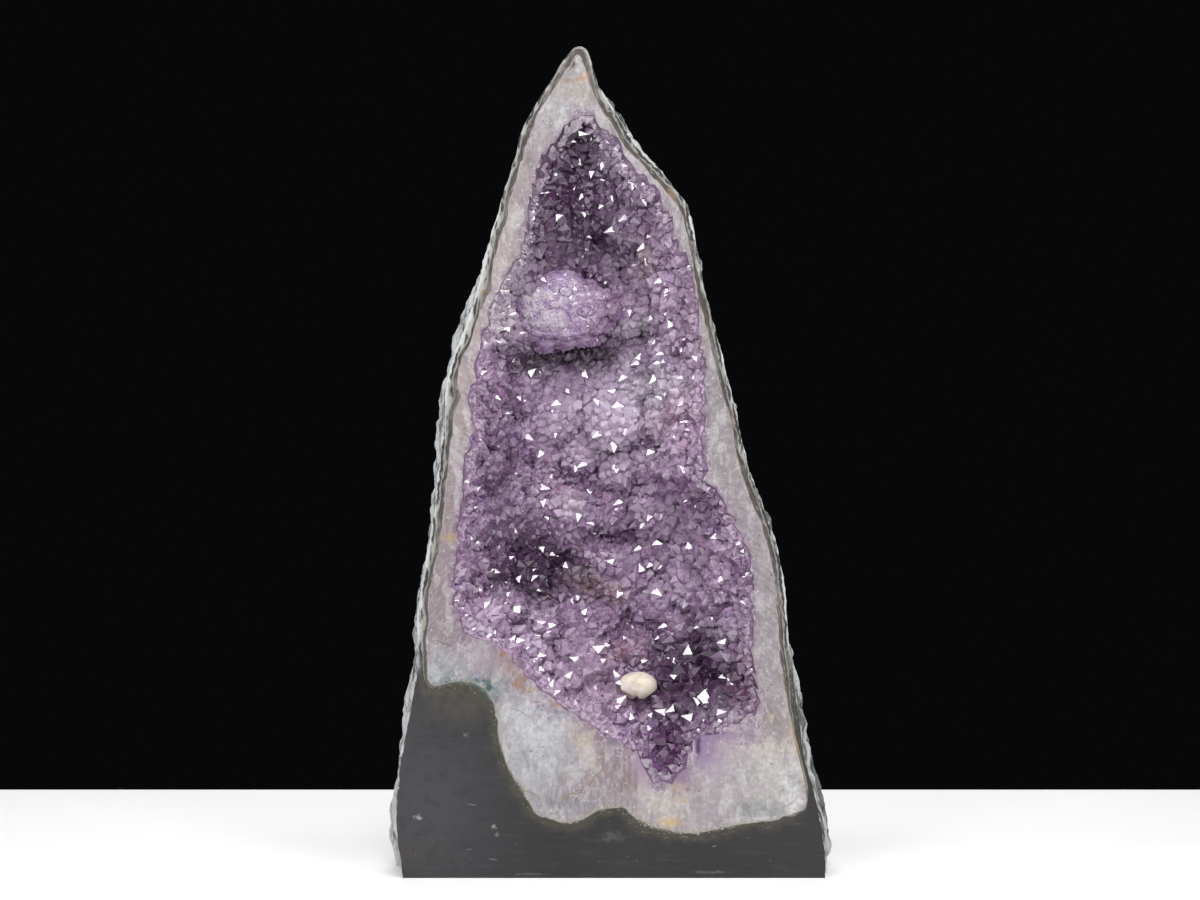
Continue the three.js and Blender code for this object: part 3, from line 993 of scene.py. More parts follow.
def minus(*values):
    return maths("SUBTRACT", *values)


def times(*values):
    return maths("MULTIPLY", *values)


def inverse(mask):
    return minus(1.0, mask)


def distance(value):
    return maths("ABSOLUTE", value)


def vectorMaths(operation, *values):
    made = nodeWith("VectorMath", dict(enumerate(values)), operation=operation)
    return made.outputs["Value" if operation == "LENGTH" else "Vector"]


def stretched(vector, by):
    return vectorMaths("MULTIPLY", vector, by)


def eased(value, low, high):
    links = {"Value": value, "From Min": low, "From Max": high}
    return nodeWith("MapRange", links, interpolation_type="SMOOTHSTEP").outputs["Result"]


def noise(vector, scale, detail, output=0):
    return nodeWith("TexNoise", {"Vector": vector, "Scale": scale, "Detail": detail}).outputs[output]


def wavered(value, vector, scale, detail, amount):
    # a value made uneven by noise, up to half the amount each way
    return plus(value, times(minus(noise(vector, scale, detail), 0.5), amount))


def axisOf(vector, axis):
    return nodeWith("SeparateXYZ", {0: vector}).outputs[axis]


def patternGroup(name, output, build, **sockets):
    group = bpy.data.node_groups.new(name, "ShaderNodeTree")
    for label, value in {"Vector": (0.0, 0.0, 0.0), **sockets}.items():
        kind = "NodeSocketVector" if isinstance(value, tuple) else "NodeSocketFloat"
        group.interface.new_socket(label, in_out="INPUT", socket_type=kind).default_value = value
    group.interface.new_socket(output, in_out="OUTPUT", socket_type="NodeSocketFloat")
    given = group.nodes.new("NodeGroupInput").outputs
    group.links.new(build(given), group.nodes.new("NodeGroupOutput").inputs[output])
    return group


def buildCloud(given):
    return eased(noise(given["Vector"], given["Scale"], given["Detail"]), given["Low"], given["High"])


def buildBlot(given):
    # a ragged patch round one place
    drift = vectorMaths("SUBTRACT", noise(given["Vector"], 130, 2, 1), (0.5, 0.5, 0.5))
    drift = nodeWith("VectorMath", {0: drift, "Scale": given["Wander"]},
                     operation="SCALE").outputs["Vector"]
    away = vectorMaths("SUBTRACT", vectorMaths("ADD", given["Vector"], drift), given["Centre"])
    away = vectorMaths("LENGTH", vectorMaths("DIVIDE", away, given["Size"]))
    away = wavered(away, given["Vector"], given["Scale"], 5, given["Ragged"])
    return inverse(eased(away, given["Inner"], 1.0))


def buildSeam(given):
    # thin wandering lines between cells
    drift = noise(given["Vector"], given["Scale"], 5, 1)
    drift = nodeWith("VectorMath", {0: drift, "Scale": given["Warp"]}, operation="SCALE").outputs["Vector"]
    bent = vectorMaths("ADD", given["Vector"], drift)
    edge = nodeWith("TexVoronoi", {"Vector": bent, "Scale": given["Scale"]},
                    feature="DISTANCE_TO_EDGE").outputs[0]
    return inverse(eased(edge, 0.0, given["Width"]))


def cellOf(given):
    # a cell's own tone, and how far a place is from its middle
    cell = nodeWith("TexVoronoi", {"Vector": given["Vector"], "Scale": given["Scale"]}).outputs
    return nodeWith("SeparateColor", {0: cell["Color"]}).outputs[0], cell["Distance"]


def buildSpeck(given):
    # scattered grains: only some of the cells hold one
    tone, away = cellOf(given)
    return times(maths("LESS_THAN", tone, given["Share"]), inverse(eased(away, 0.12, given["Reach"])))


def buildGrit(given):
    return plus(noise(given["Vector"], given["Coarse"], 4),
                times(noise(given["Vector"], given["Fine"], 2), given["Share"]))


def buildCells(given):
    # a tone for each grown-together grain, with dark joints
    tone, away = cellOf(given)
    return times(tone, inverse(eased(away, 0.3, 0.9)))


cloud = patternGroup("cloud", "Mask", buildCloud, Scale=50.0, Detail=3.0, Low=0.4, High=0.6)
blot = patternGroup("blot", "Mask", buildBlot, Centre=(0.0, 0.0, 0.0), Size=(0.01, 0.4, 0.01), Ragged=1.0,
                    Scale=180.0, Inner=0.05, Wander=0.004)
seam = patternGroup("seam", "Mask", buildSeam, Scale=40.0, Warp=0.01, Width=0.03)
speck = patternGroup("speck", "Mask", buildSpeck, Scale=900.0, Share=0.2, Reach=0.4)
grit = patternGroup("grit", "Height", buildGrit, Coarse=300.0, Fine=1500.0, Share=0.3)
cells = patternGroup("cells", "Mask", buildCells, Scale=300.0)


def pattern(group, vector, **values):
    tree = vector.id_data
    made = tree.nodes.new("ShaderNodeGroup")
    made.node_tree = group
    tree.links.new(vector, made.inputs["Vector"])
    for label, value in values.items():
        made.inputs[label].default_value = value
    return made.outputs[0]


def clouds(vector, scale, low=0.4, high=0.6, detail=3):
    return pattern(cloud, vector, Scale=scale, Detail=detail, Low=low, High=high)


def specks(vector, scale, share, reach):
    return pattern(speck, vector, Scale=scale, Share=share, Reach=reach)


def seams(vector, scale, warp, width):
    return pattern(seam, vector, Scale=scale, Warp=warp, Width=width)


def cellsOf(vector, scale):
    return pattern(cells, vector, Scale=scale)


def gritOf(vector, coarse, fine, share):
    return pattern(grit, vector, Coarse=coarse, Fine=fine, Share=share)


def markAt(vector, x, z, wide, tall, **values):
    # a patch round one place of the sawn face; wide and tall are half sizes
    return pattern(blot, vector, Centre=(x, front, z), Size=(wide, 0.4, tall), **values)


def blended(mask, under, over, amount=1.0):
    tree = mask.id_data
    mix = tree.nodes.new("ShaderNodeMix")
    mix.data_type = "RGBA"
    tree.links.new(mask if amount == 1.0 else times(mask, amount), mix.inputs[0])
    for socket, colour in ((6, under), (7, over)):
        if isinstance(colour, bpy.types.NodeSocket):
            tree.links.new(colour, mix.inputs[socket])
        else:
            mix.inputs[socket].default_value = (*colour, 1)
    return mix.outputs[2]


def layered(colour, steps):
    # each step is a mask, the colour that it lays on and how much of it
    for mask, over, *amount in steps:
        colour = blended(mask, colour, over, *amount)
    return colour


def blots(place, colour, patches):
    # x, z, width, height in millimetres, colour, amount and how ragged
    for x, z, wide, tall, tint, amount, ragged in patches:
        narrow = millimetre * min(wide, tall)
        mask = markAt(place, x * millimetre, z * millimetre, wide * millimetre, tall * millimetre,
                      Ragged=ragged, Scale=min(900.0, 1.6 / narrow), Wander=min(0.014, 0.9 * narrow))
        colour = blended(mask, colour, tint, amount)
    return colour


def startFinish(name, sockets):
    material = bpy.data.materials.new(name)
    material.use_nodes = True
    tree = material.node_tree
    shader = tree.nodes["Principled BSDF"]
    for key, value in sockets.items():
        shader.inputs[key].default_value = value
    return material, shader, tree.nodes.new("ShaderNodeTexCoord").outputs["Object"]


def ownValue(place, name):
    return node(place.id_data, "Attribute", attribute_name=name).outputs["Fac"]


def ownVector(place, name):
    return node(place.id_data, "Attribute", attribute_name=name).outputs["Vector"]


def feeds(shader, values):
    for socket, value in values.items():
        shader.id_data.links.new(value, shader.inputs[socket])


def bumped(shader, height, strength, reach):
    bump = nodeWith("Bump", {"Height": height, "Strength": strength, "Distance": reach})
    feeds(shader, {"Normal": bump.outputs[0]})


def spread(mask, low, high):
    # a mask carried into a range of values, for roughness
    return plus(low, times(mask, high - low))


# basalt: satin grey where it is sawn, rough and dusty outside

def makeBasaltFinish():
    material, shader, place = startFinish("basaltFinish", {"Specular IOR Level": 0.4})
    sawn = (0.019, 0.019, 0.0205)
    foot = blended(clouds(place, 14, 0.35, 0.7), sawn, (0.024, 0.024, 0.0265))
    foot = blots(place, foot, [
        (-95, 40, 66, 90, (0.042, 0.043, 0.048), 1.0, 0.5),
        (-76, 86, 26, 13, (0.06, 0.049, 0.041), 0.85, 1.0),
        (-80, 93, 26, 5, (0.062, 0.059, 0.037), 0.7, 1.6), (-98, 12, 26, 7, (0.05, 0.042, 0.034), 0.6, 1.6),
        (-30, 34, 30, 6, (0.028, 0.029, 0.027), 0.6, 1.2), (40, 24, 60, 5, (0.045, 0.041, 0.028), 0.5, 1.6),
        (60, 16, 90, 26, (0.017, 0.017, 0.018), 0.5, 1.0),
        (-48, 55, 10, 18, (0.046, 0.042, 0.035), 0.6, 1.6),
        (2, 20.5, 8, 3.4, (0.105, 0.105, 0.099), 0.5, 2.6),
        (-96, 31, 2.4, 2.2, (0.31, 0.31, 0.31), 0.8, 3.0),
        (-58, 26, 1.6, 1.5, (0.279, 0.279, 0.279), 0.8, 3.0),
        (-56, 22, 1.8, 1.3, (0.217, 0.217, 0.217), 0.7, 3.0),
        (-72, 72, 2.2, 1.8, (0.186, 0.18, 0.167), 0.6, 3.0),
        (52, 3, 12, 1.0, (0.186, 0.18, 0.18), 0.5, 2.0), (-40, 2, 10, 0.8, (0.155, 0.155, 0.155), 0.4, 2.0),
    ])
    # an olive halo and golden grains where the foot meets the lining
    contact = wavered(ownValue(place, "contact"), place, 160, 5, 0.009)
    inFoot = eased(distance(axisOf(place, 0)), 0.101, 0.093)
    foot = blended(times(inFoot, eased(contact, 0.006, 0.0)), foot, (0.06, 0.054, 0.037), 0.8)
    grains = times(eased(contact, 0.0034, 0.0008), specks(place, 900, 0.5, 0.5))
    grains = times(times(grains, inFoot), clouds(place, 130, 0.42, 0.58))
    foot = layered(foot, [
        (grains, (0.29, 0.25, 0.18), 0.85),
        (times(eased(contact, 0.005, 0.001), specks(place, 1150, 0.4, 0.5)), (0.016, 0.015, 0.011), 0.8),
    ])
    crack = markAt(place, -0.08, 0.0715, 0.036, 0.0005, Ragged=0.8, Scale=90.0, Wander=0.005)
    foot = blended(crack, foot, (0.013, 0.013, 0.014), 0.7)
    strokes = stretched(place, (0.12, 1.0, 1.0))
    foot = layered(foot, [
        (clouds(strokes, 420, 0.52, 0.72, 4), (0.06, 0.06, 0.063), 0.35),
        (clouds(place, 150, 0.5, 0.68, 6), (0.019, 0.019, 0.02), 0.4),
        (specks(place, 700, 0.1, 0.32), (0.019, 0.019, 0.02), 0.6),
        (specks(place, 430, 0.03, 0.25), (0.124, 0.124, 0.124), 0.5),
    ])

    # the skin: dark olive stone under uneven dust, with pale ribbons beside the saw cut that are partly
    # weathering and partly painted light, with more painted light on the left side
    relief = ownValue(place, "relief")
    left = eased(times(axisOf(place, 0), -1.0), -0.01, 0.05)
    rind = blended(clouds(place, 36, 0.36, 0.66, 6), (0.056, 0.061, 0.057), (0.1, 0.105, 0.1))
    rind = layered(rind, [
        (clouds(place, 9, 0.4, 0.68, 5), (0.165, 0.17, 0.165), 0.7),
        (eased(relief, 0.1, 0.65), (0.21, 0.215, 0.21), 0.5),
        (clouds(place, 28, 0.56, 0.72, 5), (0.115, 0.095, 0.066), 0.5),
    ])
    besideCut = eased(axisOf(place, 1), front + 0.105, front + 0.04)
    streaks = stretched(place, (1.0, 1.0, 0.28))
    pale = clouds(streaks, 120, 0.41, 0.54, 6)
    rind = layered(rind, [
        (times(besideCut, pale), (0.58, 0.595, 0.595), 0.92),
        (times(times(left, besideCut), clouds(streaks, 70, 0.38, 0.54, 6)), (0.58, 0.6, 0.61), 0.85),
    ])
    # painted shade in the pits of the skin, near black
    pitShade = times(eased(times(relief, -1.0), 0.05, 0.75),
                   spread(clouds(place, 17, 0.38, 0.62, 4), 0.45, 1.0))
    rind = layered(rind, [
        (pitShade, (0.02, 0.021, 0.02), 0.88),
        (specks(place, 520, 0.16, 0.5), (0.03, 0.032, 0.03), 0.6),
        (specks(place, 800, 0.14, 0.4), (0.25, 0.255, 0.25), 0.5),
    ])
    veins = times(seams(streaks, 110, 0.012, 0.1), clouds(place, 80, 0.44, 0.58))
    rind = blended(veins, rind, (0.012, 0.013, 0.013), 0.8)
    # the thin crust that the saw shows outside the agate is mottled like the rind
    crust = eased(axisOf(place, 2), 0.1, 0.125)
    band = wavered(ownValue(place, "contact"), place, 300, 4, 0.0028)
    gaps = clouds(streaks, 260, 0.4, 0.52, 5)
    edgeTone = blended(gaps, (0.34, 0.34, 0.33), (0.01, 0.011, 0.011), 0.95)
    edgeTone = layered(edgeTone, [
        (eased(band, 0.0005, 0.0001), (0.3, 0.27, 0.24), 0.8),
        (eased(band, 0.0013, 0.002), (0.5, 0.515, 0.515), 0.92),
    ])
    foot = blended(crust, foot, edgeTone)

    depth = axisOf(place, 1)
    cut = inverse(eased(depth, front + 0.00015, front + 0.0007))
    rough = spread(clouds(place, 40, 0.3, 0.7), 0.42, 0.56)
    coarse = spread(pale, 0.88, 0.7)
    mix = nodeWith("Mix", {0: cut, 2: coarse, 3: rough})
    feeds(shader, {"Base Color": blended(cut, rind, foot), "Roughness": mix.outputs[0]})
    height = gritOf(place, 330, 1400, 0.45)
    flat = times(gritOf(place, 900, 2600, 0.6), 0.05)
    bumped(shader, nodeWith("Mix", {0: cut, 2: height, 3: flat}).outputs[0], 0.85, 0.0026)
    return material


# agate: a dark band with pale lines, which fades into a speckled seam along the foot

def makeAgateFinish():
    material, shader, place = startFinish("agateFinish", {
        "Roughness": 0.3, "Coat Weight": 0.25, "Coat Roughness": 0.2})
    across = ownValue(place, "across")
    growth = ownVector(place, "growth")
    across = wavered(across, growth, 240, 3, 0.42)
    ramp = nodeWith("ValToRGB", {0: across})
    stops = [(0.0, (0.2, 0.19, 0.18)), (0.1, (0.34, 0.33, 0.32)), (0.17, (0.085, 0.075, 0.068)),
             (0.38, (0.055, 0.048, 0.045)), (0.55, (0.1, 0.088, 0.08)), (0.72, (0.062, 0.053, 0.05)),
             (0.84, (0.2, 0.165, 0.16)), (0.93, (0.42, 0.35, 0.35)), (1.0, (0.36, 0.31, 0.31))]
    while len(ramp.color_ramp.elements) < len(stops):
        ramp.color_ramp.elements.new(0.5)
    for element, (where, colour) in zip(ramp.color_ramp.elements, stops):
        element.position = where
        element.color = (*colour, 1)
    colour = ramp.outputs[0]
    colour = blended(clouds(growth, 60, 0.5, 0.68), colour, (0.3, 0.27, 0.26), 0.35)
    drawn = stretched(growth, (0.35, 0.35, 1.6))
    colour = layered(colour, [
        (clouds(drawn, 620, 0.5, 0.6, 4), (0.028, 0.026, 0.025), 0.6),
        (clouds(drawn, 480, 0.56, 0.66, 4), (0.32, 0.3, 0.29), 0.5),
    ])
    colour = blots(place, colour, [
        (-64, 297, 3.5, 5, (0.34, 0.2, 0.09), 0.8, 1.6), (-83, 173, 4, 5, (0.36, 0.2, 0.08), 0.8, 1.6),
        (95, 70, 4, 11, (0.38, 0.24, 0.1), 0.8, 1.8), (98, 50, 4, 14, (0.3, 0.24, 0.15), 0.6, 2.0),
        (-13, 403, 4, 6, (0.4, 0.24, 0.12), 0.7, 1.8), (32, 345, 4, 6, (0.3, 0.2, 0.12), 0.6, 1.8),
        (62, 230, 4, 6, (0.28, 0.19, 0.12), 0.5, 1.8),
    ])
    # the seam between foot and quartz
    low = inverse(eased(axisOf(place, 2), 0.098, 0.108))
    inside = inverse(eased(distance(axisOf(place, 0)), 0.086, 0.093))
    seamTone = blended(eased(across, 0.5, 0.85), (0.036, 0.036, 0.038), (0.27, 0.26, 0.26))
    middle = times(eased(across, 0.0, 0.3), eased(across, 1.05, 0.8))
    seamTone = layered(seamTone, [
        (times(middle, clouds(place, 520, 0.44, 0.58, 4)), (0.135, 0.115, 0.065), 0.85),
        (specks(place, 800, 0.45, 0.5), (0.022, 0.02, 0.016), 0.75),
        (times(middle, specks(place, 560, 0.28, 0.42)), (0.46, 0.43, 0.33), 0.8),
    ])
    seamTone = blots(place, seamTone, [
        (-80, 96, 7, 5, (0.02, 0.075, 0.085), 0.75, 1.8), (-61, 94, 6, 7, (0.02, 0.085, 0.085), 0.8, 1.8),
        (-68, 98, 8, 4, (0.02, 0.07, 0.09), 0.7, 1.8), (-72, 98, 18, 4, (0.1, 0.13, 0.13), 0.5, 1.8),
    ])
    colour = blended(times(low, inside), colour, seamTone)
    feeds(shader, {"Base Color": colour})
    bumped(shader, gritOf(growth, 500, 1800, 0.5), 0.25, 0.0005)
    return material


# milky quartz: cloudy, stained in places, and purple where it turns into amethyst

purple, lilac = (0.05, 0.009, 0.074), (0.56, 0.46, 0.55)
quartzTone = {
    # each deep purple edge beside the notch, and the pale ones along them: middle and half size in metres,
    # share that is full, colour and amount
    "edges": [
        (0.0510, 0.0729, 0.0102, 0.0017, 0.20, purple, 0.92),
        (0.0449, 0.0672, 0.0019, 0.0092, 0.20, purple, 0.92),
        (0.0205, 0.0550, 0.0020, 0.0052, 0.20, purple, 0.92),
        (0.0520, 0.0756, 0.0110, 0.0009, 0.25, lilac, 0.65),
        (0.0421, 0.0650, 0.0008, 0.0098, 0.25, lilac, 0.65),
    ],
}


def makeQuartzFinish():
    material, shader, place = startFinish("quartzFinish", {"Coat Weight": 0.35, "Coat Roughness": 0.12})
    across = ownValue(place, "across")
    growth = ownVector(place, "growth")
    side = eased(axisOf(place, 0), -0.03, 0.03)
    colour = blended(side, (0.296, 0.248, 0.255), (0.263, 0.233, 0.252))
    colour = layered(colour, [
        (clouds(place, 55, 0.42, 0.62, 5), (0.348, 0.311, 0.318), 0.55),
        (clouds(place, 95, 0.5, 0.66, 5), (0.207, 0.174, 0.192), 0.55),
    ])
    colour = blots(place, colour, [
        (-18, 396, 34, 34, (0.315, 0.297, 0.311), 0.9, 0.7),
        (-24, 385, 34, 26, (0.385, 0.37, 0.386), 0.6, 1.4),
        (-12, 408, 12, 16, (0.27, 0.265, 0.26), 0.6, 1.2), (-14, 398, 18, 10, (0.4, 0.35, 0.26), 0.5, 1.5),
        (-68, 262, 22, 80, (0.405, 0.325, 0.33), 0.9, 0.9),
        (-84, 150, 22, 90, (0.235, 0.18, 0.202), 0.9, 0.7),
        (-56, 300, 14, 60, (0.42, 0.35, 0.355), 0.8, 0.9), (16, 350, 18, 50, (0.39, 0.345, 0.37), 0.7, 0.9),
        (72, 205, 20, 50, (0.33, 0.285, 0.3), 0.7, 0.9), (88, 120, 22, 40, (0.255, 0.22, 0.23), 0.7, 0.9),
        (-84, 108, 34, 18, (0.33, 0.325, 0.34), 0.9, 0.9),
        (-77, 99, 36, 10, (0.17, 0.205, 0.24), 0.85, 1.3),
        (-88, 104, 10, 12, (0.235, 0.265, 0.29), 0.7, 1.3), (-52, 96, 12, 10, (0.14, 0.15, 0.19), 0.6, 1.3),
        (-36, 66, 40, 50, (0.345, 0.355, 0.378), 1.0, 0.6),
        (-36, 74, 26, 28, (0.44, 0.452, 0.475), 0.9, 1.3), (-44, 58, 8, 12, (0.24, 0.25, 0.27), 0.6, 1.6),
        (-28, 58, 8, 10, (0.25, 0.258, 0.28), 0.6, 1.6), (-20, 38, 48, 13, (0.19, 0.182, 0.208), 0.95, 0.9),
        (-32, 34, 26, 4, (0.3, 0.31, 0.325), 0.7, 1.6), (2, 58, 34, 38, (0.235, 0.172, 0.195), 1.0, 0.7),
        (12, 48, 14, 12, (0.15, 0.105, 0.105), 0.7, 1.4), (-12, 74, 13, 17, (0.43, 0.37, 0.29), 0.9, 1.0),
        (-8, 62, 7, 18, (0.38, 0.31, 0.26), 0.7, 1.4), (27, 37, 26, 18, (0.4, 0.35, 0.31), 0.95, 1.2),
        (58, 50, 28, 34, (0.345, 0.3, 0.325), 0.9, 0.6), (84, 54, 34, 40, (0.43, 0.405, 0.39), 1.0, 0.6),
        (78, 67, 28, 8, (0.43, 0.375, 0.31), 0.8, 1.2), (77, 33.5, 20, 8, (0.165, 0.2, 0.195), 0.85, 1.2),
        (91.5, 42, 8, 18, (0.6, 0.61, 0.61), 0.8, 1.8), (84, 78, 16, 14, (0.2, 0.16, 0.155), 0.8, 1.2),
        (74, 29.5, 22, 3, (0.42, 0.4, 0.36), 0.6, 1.8), (81.5, 81.6, 4, 3, (0.3, 0.2, 0.06), 0.7, 1.6),
    ])
    # cloudy wisps in the two thick corners, and grains that grew inwards elsewhere
    drawnUp = stretched(place, (1.0, 1.0, 0.45))
    wisps = clouds(drawnUp, 210, 0.5, 0.6, 6)
    combed = stretched(growth, (1.0, 1.0, 0.22))
    grains = cellsOf(place, 520)
    colour = layered(colour, [
        (wisps, (0.56, 0.56, 0.57), 0.34),
        (clouds(drawnUp, 160, 0.52, 0.64, 6), (0.15, 0.135, 0.15), 0.32),
        (clouds(combed, 750, 0.42, 0.62), (0.46, 0.43, 0.437), 0.28),
        (eased(grains, 0.55, 0.0), (0.148, 0.122, 0.141), 0.28),
    ])
    # the purple fringe, where grown-together points are cut across
    inner = wavered(across, place, 120, 5, 1.1)
    fringe = eased(inner, 0.66, 1.16)
    toothLine = times(seams(place, 300, 0.003, 0.09), clouds(place, 200, 0.45, 0.6))
    colour = layered(colour, [
        (fringe, (0.255, 0.175, 0.25), 0.75),
        (times(fringe, eased(cellsOf(place, 330), 0.5, 0.0)), (0.085, 0.045, 0.095), 0.55),
        (times(eased(inner, 0.5, 0.85), toothLine), (0.56, 0.5, 0.55), 0.65),
    ])
    colour = blots(place, colour, [
        (-58, 112, 20, 16, (0.244, 0.17, 0.222), 0.55, 1.2),
        (-62, 121, 3, 3, (0.2, 0.095, 0.045), 0.6, 3.0),
        (-54, 113, 2.4, 3.5, (0.24, 0.1, 0.035), 0.75, 3.0),
        (-51, 105, 3.0, 4, (0.22, 0.095, 0.035), 0.75, 3.4),
        (-45, 98, 5.5, 4.5, (0.24, 0.115, 0.045), 0.7, 3.6),
        (-48, 108, 10, 12, (0.33, 0.24, 0.21), 0.35, 2.4), (-39, 95, 4, 2.4, (0.28, 0.16, 0.07), 0.5, 3.0),
        (-25.5, 88, 4.5, 2.4, (0.3, 0.15, 0.055), 0.65, 3.0),
        (52, 68, 24, 22, (0.32, 0.262, 0.322), 0.7, 0.9),
        (47.5, 67, 8, 18, (0.205, 0.125, 0.25), 0.75, 1.2), (52, 71, 20, 6, (0.21, 0.13, 0.25), 0.75, 1.2),
        (50, 77.5, 20, 2.6, (0.36, 0.2, 0.33), 0.8, 1.2), (19, 56, 9, 14, (0.3, 0.205, 0.29), 0.8, 1.0),
        (38, 51, 8, 7, (0.2, 0.115, 0.2), 0.7, 1.4), (36, 45, 8, 4, (0.33, 0.2, 0.13), 0.5, 1.8),
        (16, 60, 8, 12, (0.244, 0.163, 0.252), 0.6, 1.0), (32, 28, 8, 4, (0.459, 0.311, 0.133), 0.85, 1.4),
        (37, 39, 6, 4, (0.37, 0.266, 0.163), 0.6, 1.8), (-18, 410, 3, 3, (0.074, 0.048, 0.033), 0.9, 1.4),
        (-13, 403, 4, 3, (0.333, 0.192, 0.089), 0.8, 1.6),
        (-20, 402, 3, 2, (0.311, 0.207, 0.133), 0.6, 1.6), (-62, 295, 4, 6, (0.311, 0.2, 0.104), 0.7, 1.6),
        (-80, 172, 5, 4, (0.333, 0.222, 0.096), 0.7, 1.8),
        (-66, 240, 4, 18, (0.34, 0.281, 0.237), 0.6, 1.2), (93, 75, 4, 9, (0.333, 0.244, 0.133), 0.6, 1.6),
        (-61, 96, 4, 5, (0.012, 0.06, 0.068), 0.85, 2.2),
        (-67, 99.5, 4, 2.6, (0.014, 0.055, 0.085), 0.8, 2.4),
        (-80, 98, 5, 3, (0.016, 0.062, 0.076), 0.8, 2.2), (-57, 92, 3, 8, (0.06, 0.11, 0.12), 0.6, 2.0),
        (-72, 98.5, 18, 3, (0.074, 0.11, 0.126), 0.6, 2.2),
    ])
    for x, z, wide, tall, inside, tint, amount in quartzTone["edges"]:
        mask = markAt(place, x, z, wide, tall, Ragged=0.8, Scale=260.0, Inner=inside, Wander=0.0018)
        colour = blended(mask, colour, tint, amount)
    bulk = markAt(place, -0.04, 0.072, 0.072, 0.074, Ragged=0.7, Scale=40.0, Wander=0.008)
    edge = eased(distance(minus(bulk, 0.5)), 0.022, 0.006)
    inReach = markAt(place, -0.012, 0.054, 0.03, 0.036, Inner=0.55)
    colour = blended(times(edge, inReach), colour, (0.19, 0.14, 0.1), 0.75)
    combTeeth = markAt(place, -0.006, 0.0415, 0.026, 0.008, Inner=0.5)
    teeth = seams(place, 150, 0.008, 0.05)
    colour = blended(times(teeth, combTeeth), colour, (0.5, 0.48, 0.5), 0.35)
    thick = maths("MAXIMUM", markAt(place, -0.035, 0.062, 0.034, 0.04, Inner=0.6),
                  markAt(place, 0.08, 0.05, 0.034, 0.036, Inner=0.6))
    atFoot = times(eased(axisOf(place, 2), 0.112, 0.098), eased(distance(axisOf(place, 0)), 0.096, 0.086))
    off = wavered(axisOf(growth, 2), place, 260, 4, 0.005)
    hem = times(atFoot, eased(off, 0.0018, 0.0))
    colour = layered(colour, [
        (hem, (0.3, 0.27, 0.2), 0.6),
        (times(hem, specks(place, 900, 0.5, 0.5)), (0.05, 0.045, 0.03), 0.75),
    ])
    joints = times(seams(place, 25, 0.03, 0.012), clouds(place, 30, 0.42, 0.58))
    colour = blended(times(thick, joints), colour, (0.2, 0.145, 0.095), 0.8)
    hairline = markAt(place, -0.084, 0.1195, 0.018, 0.0005, Ragged=0.8, Scale=110.0, Wander=0.009)
    colour = layered(colour, [
        (hairline, (0.118, 0.081, 0.067), 0.7),
        (specks(place, 330, 0.035, 0.24), (0.074, 0.052, 0.037), 0.6),
        (specks(place, 480, 0.16, 0.32), (0.6, 0.59, 0.6), 0.55),
    ])
    feeds(shader, {"Base Color": colour, "Roughness": spread(wisps, 0.24, 0.42)})
    bumped(shader, plus(gritOf(place, 420, 1600, 0.4), times(grains, -0.5)), 0.22, 0.0007)
    return material


# amethyst: one colour plan for the bed and for the points that stand on it

amethyst = {
    "middle": (0.37, 0.212, 0.385),
    "deep": (0.13, 0.052, 0.145),
    "pale": (0.66, 0.535, 0.69),
    "grey": (0.44, 0.385, 0.46),
    "pink": (0.5, 0.3, 0.43),
    "violet": (0.2, 0.115, 0.31),
    "rust": (0.17, 0.075, 0.022),
    "shade": (0.024, 0.01, 0.024),
}


